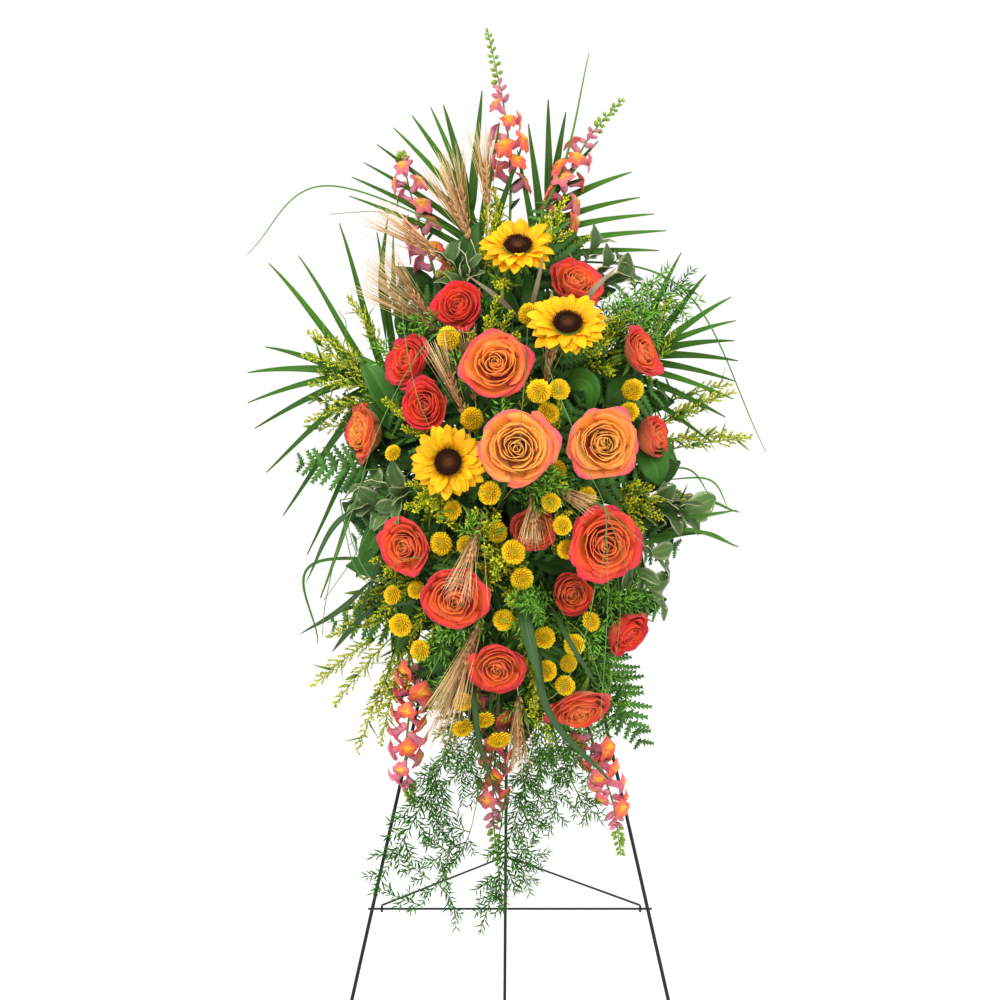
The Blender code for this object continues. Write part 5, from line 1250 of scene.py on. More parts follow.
def plume(piece, start, tip, reach, twigs, sag, look):
    """An arching plume of small yellow-green heads on thin side stalks."""
    draw = piece.draw
    length = (tip - start).length
    way = (tip - start).normalized()
    droop = Vector((0, 0, -sag * length))
    path = bezier(start, start + way * 0.4 * length - droop, tip - way * 0.3 * length - droop * 0.6, tip, 10)
    steps = len(path) - 1
    piece.add(tube(path, np.linspace(1.2, 0.4, len(path)) * MM, 4), "solidago_stem", own=0.5)
    bare = max(0, 1 - PLUME_END / length)
    for i in range(twigs):
        share = bare + (1 - bare) * (i / twigs)
        spot = place_on(path, share * steps)
        twig_way = (out_from(way, GOLDEN * i) * 0.85 + way * 0.85 + UP * 0.15).normalized()
        spread = reach * sin(pi * (0.3 + 0.64 * i / twigs)) * draw.uniform(0.6, 1.15)
        end = spot + twig_way * spread + way * spread * 0.25
        twig = bezier(spot, spot + twig_way * spread * 0.4, end - way * spread * 0.2, end, 3)
        piece.add(tube(twig, [0.5 * MM, 0.45 * MM, 0.3 * MM], 3), "solidago_stem", own=0.6)
        heads = max(3, int(spread / HEAD_STEP))
        for j in range(heads):
            on = place_on(twig, (j + 0.6) / heads * 2)
            stray = Vector((draw.uniform(-1, 1), draw.uniform(-1, 1), draw.uniform(-0.2, 1.2)))
            lean = (twig_way + stray).normalized()
            size = draw.uniform(3.4, 5.4) * MM
            piece.add(SOLIDAGO_HEAD, look, seat(on + lean * 1.2 * MM, lean, UP + RIGHT * 0.1, size))
    for i in range(int(length / LEAF_STEP)):
        share = min(0.9, (i + 0.3) * LEAF_STEP / length)
        matrix = leaf_seat(Vector(path[int(share * steps)]), out_from(way, i * 2.4) + way * 0.7, way)
        piece.add(LEAFLET, "solidago_stem", matrix @ Matrix.Diagonal(PLUME_LEAF))


def solidago_group(name, spot, tips):
    piece, hub = branched(name, "_plumes", spot, 1.8 * MM, "solidago_stem")
    look = "solidago_bud" if name in OUTER_SOLIDAGO else "solidago_floret"
    for tip in tips:
        plume(piece, hub, point(*tip), 1.5 * CM, 34, 0.1, look)
    settle(piece, "solidago_green", name)


# Wheat

EAR = 6 * CM
EAR_ROWS = 13
GRAIN_SIZE = 12 * MM
GRAIN = turned([(0, 0), (0.11, 0.12), (0.17, 0.42), (0.13, 0.72), (0.05, 0.93), (0, 1)], 6, 0.8)
AWN_RADII = np.array([0.6, 0.55, 0.48, 0.4, 0.2]) * MM


def wheat_group(name, spot, ears):
    """Bearded ears: rows of three grains that wind a little round the ear, each with a long awn."""
    piece, hub = branched(name, "_ears", spot, 1.5 * MM, "wheat_awn")
    draw = piece.draw
    for ear in ears:
        base = point(*ear[:3])
        end = point(*ear[3:])
        way = (end - base).normalized()
        stalk(piece, hub, base, way, 1 * MM, "wheat_awn", 9, 5)
        core = np.array([base + way * EAR * t for t in np.linspace(0, 1, 4)])
        piece.add(tube(core, 1.4 * MM, 5), "wheat_husk", own=0.3)
        side = way.orthogonal().normalized()
        flat = way.cross(side)
        for i in range(EAR_ROWS):
            spot_on = base + way * (EAR * i / EAR_ROWS)
            row = (side if i % 2 else -side) * cos(i * 0.35) + flat * sin(i * 0.35)
            over = way.cross(row)
            full = sin(pi * (0.25 + 0.62 * i / EAR_ROWS))
            for j in (-1, 0, 1):
                out = (row * 0.42 + over * (0.42 * j) + way * 1.35).normalized()
                size = GRAIN_SIZE * (0.75 + 0.3 * full)
                start = spot_on + row * 0.9 * MM + over * (1.1 * MM * j)
                piece.add(GRAIN, "wheat_husk", seat(start, out, over, size))
                lean = (way + row * draw.uniform(0.02, 0.24)
                        + over * (0.14 * j + draw.uniform(-0.08, 0.08))).normalized()
                foot = start + out * size * 0.9
                length = min((end - base).length - EAR * (i / EAR_ROWS) * 0.6, (end - foot).length * 1.02)
                length = length * draw.uniform(0.78, 1)
                bend = (row * draw.uniform(-0.02, 0.05) + over * draw.uniform(-0.04, 0.04)) * length
                awn = bezier(foot, foot + lean * length * 0.35, foot + lean * length * 0.7 + bend * 0.5,
                             foot + lean * length * 0.97 + bend, 5)
                piece.add(tube(awn, AWN_RADII, 3), "wheat_awn")
    settle(piece, "wheat_straw", name)


# Palm

def palm_frond(name, spots, end, lefts, rights):
    """A palm frond whose leaflets are drawn to the tips given for each side."""
    piece, places = planted(name, "_frond", spots, 2 * MM)
    rib = through(places, 16)
    last = len(rib) - 1
    piece.add(tube(rib, np.linspace(2.2, 1.2, len(rib)) * MM, 6), "green_stem", own=0.4)
    blades = [(last, end)]
    for group in (lefts, rights):
        for i, tip in enumerate(group):
            share = 1 - (i + 0.6) / (len(group) + 0.6)
            blades.append((int(share * last), tip))
    for at, tip in blades:
        start = Vector(rib[at])
        target = point(*tip[:3])
        reach = (target - start).length
        way = (target - start).normalized()
        along = Vector(rib[min(at + 1, last)] - rib[max(at - 1, 0)]).normalized()
        sag = Vector((0, 0, -1)) * (0.03 + 0.04 * abs(way.x)) * reach
        path = bezier(start, start + (along * 0.35 + way).normalized() * reach * 0.3,
                      target - way * reach * 0.4 - sag * 0.8, target, 11)
        t = np.linspace(0, 1, len(path))
        half = tip[3] if len(tip) > 3 else 0.0048 + 0.0014 * piece.draw.random()
        half = half * min(1, 0.6 + reach * 3)
        width = half * np.clip(np.minimum(0.35 + 5 * t, (1.02 - t) ** 0.65 * 1.25), 0.06, 1)
        face = Vector((0, -1, 0.35)) + way.cross(UP) * 0.2
        piece.add(ribbon(path, width, 0.45, face), "palm_blade")
    settle(piece, "palm_green", name)


# Needle fern

NEEDLE = turned([(0, 0), (0.085, 0.4), (0, 1)], 3)
NEEDLE_LENGTH = 18 * MM
TUFT_STEP = 7 * MM


def needled(piece, path, length, spacing, radius, look):
    """A green strand with tufts of flat needles all round it."""
    draw = piece.draw
    piece.add(tube(path, np.linspace(radius, radius * 0.5, len(path)), 3), "asparagus_stem", own=0.3)
    steps = np.linalg.norm(np.diff(path, axis=0), axis=1)
    total = steps.sum()
    tufts = max(2, int(total / spacing))
    marks = np.concatenate([[0], np.cumsum(steps)])
    for i in range(tufts):
        reach = total * (i + 0.7) / tufts
        k = min(max(np.searchsorted(marks, reach), 1), len(path) - 1)
        t = (reach - marks[k - 1]) / steps[k - 1]
        spot = Vector(path[k - 1] * (1 - t) + path[k] * t)
        way = Vector(path[k] - path[k - 1]).normalized()
        for j in range(3):
            out = out_from(way, tau * (j / 3) + i * 1.1 + draw.uniform(-0.5, 0.5))
            lean = (out + way * draw.uniform(0.6, 1.3)).normalized()
            size = length * draw.uniform(0.75, 1.15) * (1 - 0.25 * i / tufts)
            piece.add(NEEDLE, look, seat(spot, lean, way, size))


def asparagus_strand(piece, places, twigs, twig, length=NEEDLE_LENGTH, look="asparagus_needle", bare=0.08):
    """A strand that is bare for a share of its length, then needled, with twigs to both sides."""
    draw = piece.draw
    path = through(places, 18)
    start = int(bare * (len(path) - 1))
    if start:
        piece.add(tube(path[:start + 1], 0.8 * MM, 4), "asparagus_stem", own=0.3)
    needled(piece, path[start:], length, TUFT_STEP, 0.8 * MM, look)
    ahead, side, face = frames_on(path, (0, -1, 0.2))
    rows = len(path) - 1
    for i in range(twigs):
        share = bare + 0.04 + (0.9 - bare) * i / twigs + draw.uniform(-0.02, 0.02)
        k = min(int(share * rows), rows - 1)
        spot = Vector(path[k])
        hand = 1 if i % 2 else -1
        out = (Vector(side[k]) * hand + Vector(ahead[k]) * draw.uniform(0.5, 1.2)
               + Vector(face[k]) * draw.uniform(-0.4, 0.4)).normalized()
        reach = twig * sin(pi * (0.28 + 0.58 * share)) * draw.uniform(0.7, 1.2)
        end = spot + out * reach - UP * reach * draw.uniform(0, 0.35)
        twig_path = bezier(spot, spot + out * reach * 0.4, end - out * reach * 0.3, end, 5)
        needled(piece, twig_path, length, 0.34 * length, 0.5 * MM, look)


def asparagus_frond(name, spots, shoots):
    piece, places = planted(name, "_strands", spots, 1 * MM)
    asparagus_strand(piece, places, shoots * 2 + 2, 4.2 * CM, bare=0.25)
    settle(piece, "asparagus_green", name)


# Leaves and grass

def leafy_stem(piece, places, reach, count):
    """A woody stem with waved, cupped leaves spread round it by the golden angle."""
    draw = piece.draw
    path = through(places, 14)
    piece.add(tube(path, np.linspace(1.3, 0.6, len(path)) * MM, 5), "green_stem", own=0.4)
    rows = len(path) - 1
    t = np.linspace(0, 1, 9)
    for i in range(count):
        share = 0.1 + 0.9 * (i + 1) / count
        k = min(int(share * rows), rows)
        way = Vector(path[k] - path[max(k - 1, 0)]).normalized()
        aim = (out_from(way, GOLDEN * i) + way * (0.5 + 0.9 * share)).normalized()
        size = reach * draw.uniform(0.8, 1.15)
        width = size * 0.31 * draw.uniform(0.85, 1.15) * np.sin(pi * np.clip(t, 0.02, 0.975)) ** 0.75
        blade = np.column_stack([t * size, np.zeros(9), 0.12 * size * np.sin(t * 2.2) - 0.16 * size * t * t])
        form = ribbon(blade, width, 0.22, (0, 0, 1), wave=0.14, waves=1.8)
        face = (way + Vector((0, -0.7, 0.5))).normalized()
        piece.add(form, "pittosporum_blade", leaf_seat(Vector(path[k]), aim, face))


def pittosporum_stem(name, spots, reach, leaves):
    piece, places = planted(name, "_leaves", spots, 1.4 * MM)
    leafy_stem(piece, places, reach * 1.12 * CM, leaves)
    settle(piece, "pittosporum_green", name)


def blade_to(piece, start, mid, tip, half, look, fold=0.22, cols=5, wave=0.05, steps=8, own=None):
    """A broad leaf from its foot to its tip."""
    path = through([start, mid, tip], steps)
    t = np.linspace(0, 1, len(path))
    width = half * np.sin(pi * np.clip(0.04 + 0.94 * t, 0, 1) ** 0.9)
    piece.add(ribbon(path, width, fold, (0, -1, 0.4), cols, 0.6 * MM, wave, 1.5), look, own=own)


def broad_leaves(name, spot, leaves):
    piece, hub = branched(name, "_blades", spot, 1.6 * MM)
    for x, z, front, half in leaves:
        tip = point(x, z, front)
        foot = hub.lerp(tip, 0.35) + Vector((0, -0.01, 0))
        stalk(piece, hub, foot, (tip - foot).normalized(), 1.3 * MM)
        blade_to(piece, foot, foot.lerp(tip, 0.5) + Vector((0, -0.012, 0.008)), tip, half * CM * 1.05,
                 "broad_blade", 0.25, 9, 0.06, 18)
    settle(piece, "leaf_green", name)


# Grass is drawn at least this wide (half width, cm); blades over the second width are lilies
THINNEST = 0.1
LILY_WIDTH = 0.5


def grass_blades(name, spot, blades):
    piece, hub = branched(name, "_blades", spot, 1.3 * MM, "grass_blade")
    for blade in blades:
        half = blade[6]
        path = through([hub, point(*blade[:3]), point(*blade[3:6])], 30)
        t = np.linspace(0, 1, len(path))
        width = max(half, THINNEST) * CM * np.clip(np.minimum(0.4 + 4 * t, (1.01 - t) ** 0.5 * 1.2), 0.15, 1)
        look = "lily_blade" if half > LILY_WIDTH else "grass_blade"
        piece.add(ribbon(path, width, 0.35, (0, -1, 0.3), 5, 0.6 * MM), look)
    settle(piece, "grass_green", name)


# Greenery between and behind the blooms, in centimetres

BLOOMS = [(x, z, front, diameter / 2) for _, x, z, front, turn, lift, diameter, *_ in ROSES + SUNFLOWERS]
POM_HEADS = [(x, z, front, diameter / 2) for _, _, heads in POM_SPRAYS for x, z, front, diameter in heads]

# The face of the spray is a dome: its middle, half width and height, rim and rise
MIDDLE_X = 0.5
MIDDLE_Z = 95
FACE_WIDE = 27
FACE_TALL = 43
FACE_RIM = 4
FACE_RISE = 21

# The photograph's camera: place, distance, middle of the frame, and focal length in pixels
CAMERA_X = -0.9
CAMERA_Z = 92.7
CAMERA_FAR = 220
FRAME_MIDDLE = 500
FOCAL_PIXELS = 1517


def dome(x, z):
    """How far in front the face of the spray stands at a place."""
    fall = ((x - MIDDLE_X) / FACE_WIDE) ** 2
    return FACE_RIM + FACE_RISE * max(0, 1 - fall - ((z - MIDDLE_Z) / FACE_TALL) ** 2)


def nestle(x, z, depth, margin=1.5):
    """A place a depth behind the face of the spray, and behind any bloom there."""
    front = dome(x, z) - depth
    for bx, bz, bf, radius in BLOOMS:
        if hypot(x - bx, z - bz) < radius + margin + 0.35 * max(0, dome(bx, bz) - bf - 2):
            front = min(front, bf - 0.62 * radius - 0.6)
    for bx, bz, bf, radius in POM_HEADS:
        if hypot(x - bx, z - bz) < radius + 0.6:
            front = min(front, bf - 0.8 * radius)
    return point(x, z, max(front, 2))


def seen(column, row, front):
    """The x and z of a spot of the camera's frame at a distance in front."""
    scale = (CAMERA_FAR - front) / FOCAL_PIXELS
    return CAMERA_X + (column - FRAME_MIDDLE) * scale, CAMERA_Z - (row - FRAME_MIDDLE) * scale


def seen_on_face(column, row):
    """The same for a spot on the face of the spray."""
    x, z = seen(column, row, 14)
    return seen(column, row, max(3, dome(x, z) - 1.5))


def seen_places(spots):
    """Places from spots of the camera's frame: column, row and front."""
    return [point(*seen(column, row, front), front) for column, row, front in spots]


def in_foam(along):
    """Keeps a place along the foam off its ends."""
    return max(FOAM_LOW + 0.02, min(FOAM_HIGH - 0.02, along))


SPRIG_STEM = 1.2 * MM


def sprig_stem(piece, foot, radius=SPRIG_STEM):
    """A thin stem from the face of the foam to the foot of a sprig."""
    x, z = foot.x / CM, foot.z / CM
    across = max(-0.045, min(0.045, x * CM * 0.35))
    along = in_foam((0.95 + (z - MIDDLE_Z) * CM * 0.62) / cos(LEAN))
    root = on_frame(across, along, FOAM_FRONT - 0.006)
    reach = (foot - root).length
    way = (foot - root).normalized()
    path = bezier(root, root + FRAME_FRONT * reach * 0.35, foot - way * reach * 0.3, foot, 8)
    piece.add(tube(path, radius, 5), "green_stem", own=0.3)


def sprig(piece, x, z, turn, length, depth, margin, foot_depth, radius):
    """Grows the stem of a sprig and gives the sprig's foot and tip."""
    angle = radians(turn)
    foot = nestle(x - cos(angle) * length, z - sin(angle) * length, foot_depth)
    sprig_stem(piece, foot, radius)
    return foot, nestle(x, z, depth, margin)


def oval(count, wide, tall, draw, start=0.5):
    """Places spread evenly over an oval, with their directions out."""
    for k in range(count):
        share = sqrt((k + start) / count)
        angle = GOLDEN * k + 0.6
        yield (MIDDLE_X + wide * share * cos(angle) + draw.uniform(-1, 1),
               MIDDLE_Z + tall * share * sin(angle) + draw.uniform(-1, 1), angle)


# Where the backing would stay open: column, row, direction (radians)
GAPS = [
    (392, 445, 2.6), (463, 512, 1), (583, 384, 0.9), (602, 624, 5.6), (606, 640, 5), (404, 428, 2.9),
    (484, 700, 4.4), (508, 702, 4.7), (520, 706, 4.9),
]
BACK_LEAVES = 110
RIM_LEAVES = 34
SIDE_LEAVES = 18
BACK_STEM = 1.3 * MM


def leaves_behind_blooms(piece):
    """Leaves in the darker copy of the broad leaf, with painted shade, that point outwards just behind the
    blooms.
    """
    draw = piece.draw
    gaps = [(*seen(column, row, 10), turn) for column, row, turn in GAPS]
    for x, z, angle in list(oval(BACK_LEAVES, 21.5, 35, draw)) + gaps:
        turn = angle + draw.uniform(-0.9, 0.9)
        size = draw.uniform(6.5, 9.5)
        depth = draw.uniform(8.5, 12.5)
        over, up = cos(turn) * size * 0.5, sin(turn) * size * 0.5
        foot = nestle(x - over, z - up, depth + 1)
        tip = nestle(x + over, z + up, depth - draw.uniform(0, 1.5))
        sprig_stem(piece, foot)
        mid = foot.lerp(tip, 0.5) + Vector((0, -0.01, 0.004))
        blade_to(piece, foot, mid, tip, draw.uniform(1.6, 2.4) * CM, "painted_shade_blade")


def leaves_round_rim(piece):
    """Broad leaves round the rim, seen from the back and past the edge."""
    draw = piece.draw
    for k in range(RIM_LEAVES):
        angle = tau * k / RIM_LEAVES + draw.uniform(-0.14, 0.14)
        far = draw.uniform(0.72, 1.06)
        x = MIDDLE_X + 13.5 * far * cos(angle)
        z = MIDDLE_Z + 27 * far * sin(angle)
        foot = point(x * 0.5, MIDDLE_Z + (z - MIDDLE_Z) * 0.75, 3)
        tip = point(x + 5 * cos(angle), z + 6 * sin(angle), draw.uniform(0.5, 4))
        root = on_frame(max(-0.05, min(0.05, foot.x)), in_foam(foot.z / cos(LEAN)), 0.03)
        path = through([root, foot, foot.lerp(tip, 0.4)], 8)
        piece.add(tube(path, BACK_STEM, 5), "green_stem", own=0.3)
        mid = foot.lerp(tip, 0.7) + Vector((0, draw.uniform(-0.01, 0.012), 0))
        blade_to(piece, foot.lerp(tip, 0.4), mid, tip, draw.uniform(1.4, 2.5) * CM, "broad_blade", 0.2,
                 own=draw.random() * 0.8)


def leaves_beside_foam(piece):
    """Short leaves out of both sides of the foam, which cover the cage."""
    draw = piece.draw
    for k in range(SIDE_LEAVES):
        hand = 1 if k % 2 else -1
        along = FOAM_LOW + 0.03 + 0.37 * (k + 0.5) / SIDE_LEAVES
        root = on_frame(hand * 0.052, along, 0.045 + 0.03 * draw.random())
        foot = root + Vector((hand * 0.022, -0.004, draw.uniform(-0.01, 0.01)))
        reach = hand * draw.uniform(0.05, 0.075)
        tip = foot + Vector((reach, draw.uniform(-0.03, 0.015), draw.uniform(-0.05, 0.05)))
        piece.add(tube(through([root, root.lerp(foot, 0.5), foot], 4), BACK_STEM, 5), "green_stem", own=0.3)
        mid = foot.lerp(tip, 0.5) + Vector((hand * 0.004, -0.012, 0.004))
        # The darker copy of the broad leaf: painted shade
        blade_to(piece, foot, mid, tip, draw.uniform(1.5, 2.2) * CM, "painted_shade_blade")


def backing_leaves():
    """The leaves that close the spray behind the blooms."""
    piece = Piece("backing_leaves", "backing leaves")
    leaves_behind_blooms(piece)
    leaves_round_rim(piece)
    leaves_beside_foam(piece)
    settle(piece, "leaf_green")


# Fern among the blooms: name, fronds, half width and height of their oval, seed, where the oval starts,
# then pinna length and the range of depth behind the face (cm)
FERNS = [
    ("fern_behind", 20, 20, 33, 3, 0.5, 5.8, 6, 8.5),
    ("fern_between", 18, 22, 35, 5, 2, 5.2, 3, 4.5),
]
FERN_PAIRS = 8


def fern_filling(name, count, wide, tall, seed, start, reach, near, far):
    """Leatherleaf fronds that fan out from the middle among the blooms."""
    piece = Piece(name, name.replace("_", " "))
    draw = piece.draw
    for x, z, angle in list(oval(count, wide, tall, random.Random(seed), start)):
        turn = angle + draw.uniform(-0.5, 0.5)
        out = (cos(turn), sin(turn))
        size = draw.uniform(11, 15)
        depth = draw.uniform(near, far)
        foot = nestle(x - out[0] * size * 0.45, z - out[1] * size * 0.45, depth + 2.5)
        mid = nestle(x, z, depth, 2.5)
        tip = nestle(x + out[0] * size * 0.5, z + out[1] * size * 0.5, depth + 0.5, 2.5)
        sprig_stem(piece, foot)
        path = through([foot, mid, tip], 12)
        fern_frond(piece, path, reach * draw.uniform(0.85, 1.15) * CM, FERN_PAIRS, (0, -1, 0.25))
    settle(piece, "fern_green")


# Goldenrod: column and row of each tip in the frame, direction it grows in, length (cm)
GOLDEN_TIPS = [
    (478, 288, 80, 6), (498, 298, 75, 6), (512, 312, 60, 5), (486, 318, 95, 6), (470, 334, 110, 4),
    (518, 334, 60, 4), (384, 400, 140, 5), (396, 412, 150, 5), (402, 428, 160, 4), (416, 434, 200, 4),
    (406, 484, 165, 5), (418, 498, 200, 5), (404, 508, 190, 6), (432, 512, 240, 6), (420, 524, 225, 6),
    (440, 524, 270, 5), (636, 344, 40, 6), (652, 350, 15, 6), (622, 356, 30, 5), (612, 376, 330, 4),
    (424, 486, 190, 4), (428, 502, 210, 4), (414, 512, 205, 5), (436, 500, 250, 4), (446, 514, 280, 4),
    (452, 528, 300, 4), (476, 508, 80, 5), (466, 524, 200, 5), (484, 522, 100, 4), (500, 514, 60, 5),
    (484, 545, 120, 5), (492, 560, 170, 5), (480, 572, 200, 5), (494, 584, 250, 6), (486, 600, 260, 6),
    (508, 574, 290, 4), (496, 540, 100, 4), (500, 566, 230, 4), (492, 574, 240, 4), (516, 590, 280, 4),
    (504, 530, 70, 4), (476, 556, 190, 4), (352, 566, 170, 7), (360, 578, 180, 7), (352, 596, 195, 8),
    (344, 612, 205, 8), (372, 560, 160, 6), (384, 574, 200, 6), (372, 620, 220, 8), (340, 628, 210, 8),
    (388, 612, 230, 7), (410, 640, 240, 6), (424, 660, 250, 6), (392, 700, 262, 9), (378, 716, 256, 10),
    (408, 690, 268, 8), (458, 690, 240, 5), (474, 698, 260, 5), (446, 680, 230, 5), (532, 380, 70, 4),
    (558, 420, 40, 5), (560, 404, 80, 4), (548, 404, 110, 4), (566, 484, 20, 4), (466, 406, 110, 4),
    (572, 512, 30, 4), (586, 560, 330, 4), (520, 560, 270, 4), (522, 650, 280, 6), (528, 672, 275, 6),
    (538, 690, 290, 6), (534, 706, 270, 5), (548, 716, 280, 5), (530, 716, 262, 5), (546, 706, 285, 7),
    (536, 726, 276, 8), (556, 700, 300, 5), (640, 482, 35, 5), (654, 488, 15, 6), (662, 500, 0, 6),
    (690, 502, 5, 8), (650, 510, 340, 5), (662, 520, 335, 6), (644, 532, 310, 5), (636, 500, 20, 4),
    (614, 318, 45, 6), (622, 332, 30, 6), (630, 312, 55, 7), (608, 344, 20, 5), (600, 356, 350, 5),
    (626, 350, 10, 5), (488, 196, 88, 7), (496, 214, 80, 7), (562, 212, 70, 7), (572, 232, 30, 6),
    (590, 236, 40, 6), (548, 222, 95, 5), (446, 330, 130, 4), (430, 560, 200, 4), (450, 606, 160, 5),
    (560, 556, 300, 4), (596, 612, 300, 4), (312, 338, 140, 9), (306, 356, 165, 9), (318, 372, 160, 9),
    (302, 400, 175, 10), (306, 430, 185, 9), (346, 350, 120, 8), (732, 384, 15, 9), (752, 438, 8, 12),
    (704, 410, 20, 8), (720, 396, 25, 9), (700, 440, 5, 8), (676, 330, 60, 9),
]
# Rows lower than this stand in front of the face, and plumes further out than this are still green
LOW_ROW = 630
OUTER = 22


def golden_filling():
    piece = Piece("goldenrod_between", "goldenrod")
    for column, row, turn, length in GOLDEN_TIPS:
        x, z = seen_on_face(column, row)
        depth = piece.draw.uniform(0, 1.6) if row < LOW_ROW else -0.8
        foot, tip = sprig(piece, x, z, turn, length, depth, 0.4, 6, 1 * MM)
        dense, look = (1.1, "solidago_bud") if abs(x - MIDDLE_X) > OUTER else (2, "solidago_floret")
        plume(piece, foot, tip, (0.9 + 0.06 * length) * CM, int(12 + dense * length), 0.04, look)
    settle(piece, "solidago_green")


# Needle fern: column, row, direction, length
NEEDLE_TIPS = [
    (500, 404, 100, 5), (512, 410, 60, 5), (480, 300, 120, 5), (552, 460, 60, 7), (566, 470, 40, 8),
    (578, 486, 330, 7), (590, 500, 20, 7), (604, 504, 0, 7), (560, 500, 300, 5), (528, 596, 150, 3),
    (526, 610, 200, 3), (536, 620, 200, 4), (604, 624, 350, 4), (540, 634, 230, 5), (566, 634, 270, 3),
    (512, 604, 200, 5), (504, 632, 215, 6), (520, 588, 100, 4), (606, 580, 30, 3), (618, 594, 10, 4),
    (640, 600, 5, 7), (656, 606, 350, 9), (650, 584, 20, 7), (600, 646, 320, 5), (620, 664, 330, 8),
    (634, 690, 325, 8), (628, 720, 310, 9), (600, 700, 300, 7), (610, 740, 290, 9), (446, 640, 230, 7),
    (430, 664, 240, 7), (454, 620, 170, 5), (650, 280, 60, 12), (668, 268, 40, 14), (686, 286, 25, 13),
    (672, 306, 30, 11), (660, 330, 20, 9), (644, 300, 80, 9), (700, 300, 15, 13), (620, 290, 80, 8),
    (412, 322, 170, 5), (400, 330, 150, 6), (372, 344, 150, 9), (556, 740, 280, 10), (580, 760, 290, 11),
    (540, 780, 272, 12), (600, 790, 300, 12), (450, 740, 250, 10), (470, 770, 262, 11),
    (430, 780, 245, 12), (520, 740, 265, 9), (500, 760, 268, 10), (454, 356, 120, 5), (470, 516, 100, 5),
    (574, 530, 60, 5), (560, 722, 285, 6), (584, 744, 290, 8), (444, 702, 245, 8), (428, 712, 240, 7),
    (596, 736, 300, 9), (570, 782, 280, 10), (552, 770, 270, 10),
]


def needle_filling():
    piece = Piece("needle_fern_between", "needle fern")
    for column, row, turn, length in NEEDLE_TIPS:
        x, z = seen_on_face(column, row)
        foot, tip = sprig(piece, x, z, turn, length, piece.draw.uniform(-0.6, 1.2), 0.3, 4.5, 0.9 * MM)
        mid = foot.lerp(tip, 0.55)
        mid = nestle(mid.x / CM, mid.z / CM, 1.4, 0.8)
        # These tufts take the brighter needle copy: painted light
        asparagus_strand(piece, [foot, mid, tip], 4, min(2.8, 0.4 * length) * CM, look="painted_light_needle")
    settle(piece, "asparagus_green")


# Variegated sprigs: column, row, direction, length
VARIEGATED_TIPS = [
    (370, 484, 170, 8), (392, 514, 230, 5), (690, 512, 350, 9), (676, 496, 20, 7), (668, 566, 325, 8),
    (652, 590, 310, 7), (700, 520, 340, 8), (452, 262, 120, 6), (468, 270, 80, 5), (600, 236, 55, 8),
    (622, 250, 40, 8), (636, 270, 20, 7),
]


def variegated_filling():
    piece = Piece("variegated_between", "variegated")
    for column, row, turn, length in VARIEGATED_TIPS:
        foot, tip = sprig(piece, *seen(column, row, 12), turn, length, 2.5, 1.5, 6, SPRIG_STEM)
        mid = foot.lerp(tip, 0.5) + Vector((0, -0.006, 0))
        leafy_stem(piece, [foot, mid, tip], piece.draw.uniform(3.8, 4.8) * CM, 6)
    settle(piece, "pittosporum_green")


# Blades among the blooms: look, half width (cm), then spots (column, row, front)
BLADES = [
    ("broad", 2.2, [(478, 300, 8), (466, 262, 9), (478, 222, 8)]),
    ("broad", 2, [(504, 350, 8), (508, 318, 12), (506, 284, 13)]),
    ("broad", 1.8, [(524, 340, 9), (532, 306, 12), (528, 272, 11)]),
    ("broad", 2.2, [(640, 440, 9), (654, 464, 12), (660, 486, 10)]),
    ("broad", 2, [(400, 540, 9), (376, 562, 11), (346, 566, 9)]),
    ("broad", 1.9, [(640, 370, 7), (620, 390, 12), (606, 404, 13)]),
    ("broad", 1.6, [(560, 400, 12), (576, 380, 18), (592, 388, 20), (588, 424, 17)]),
    ("lily", 0.9, [(519, 588, 17), (528, 634, 21), (541, 686, 21)]),
    ("lily", 0.36, [(548, 600, 15), (572, 646, 21), (600, 690, 19)]),
    ("lily", 0.34, [(490, 560, 14), (452, 570, 17), (404, 562, 15)]),
    ("lily", 0.36, [(430, 480, 12), (390, 540, 13), (350, 640, 12)]),
    ("lily", 0.32, [(440, 570, 12), (416, 600, 15), (388, 606, 15)]),
    ("lily", 0.4, [(400, 500, 10), (340, 520, 13), (306, 582, 10)]),
    ("lily", 0.4, [(372, 580, 9), (340, 610, 10), (300, 634, 8)]),
    ("lily", 0.4, [(380, 600, 9), (350, 630, 10), (332, 652, 9)]),
    ("lily", 0.42, [(470, 650, 9), (474, 700, 16), (480, 744, 16), (498, 802, 15)]),
    ("silver", 0.45, [(530, 330, 11), (500, 300, 17), (466, 274, 17)]),
    ("silver", 0.55, [(536, 350, 12), (550, 312, 18), (552, 290, 18)]),
    ("silver", 0.45, [(570, 330, 13), (592, 292, 18), (616, 268, 17)]),
    ("silver", 0.35, [(522, 340, 12), (536, 290, 17), (544, 252, 18)]),
    ("silver", 0.35, [(486, 512, 14), (478, 540, 19), (470, 566, 20)]),
    ("palm", 0.4, [(386, 340, 5), (381, 280, 6), (388, 214, 5)]),
    ("palm", 0.34, [(400, 344, 6), (394, 290, 7), (393, 232, 6)]),
    ("palm", 0.4, [(412, 340, 7), (404, 300, 8), (398, 262, 7)]),
    ("grass", 0.3, [(640, 540, 8), (690, 530, 10), (736, 546, 9)]),
    ("grass", 0.3, [(660, 520, 8), (700, 516, 10), (738, 510, 9)]),
    ("grass", 0.12, [(650, 470, 7), (690, 470, 9), (712, 500, 9)]),
    ("grass", 0.12, [(660, 480, 7), (710, 480, 9), (730, 512, 9)]),
]
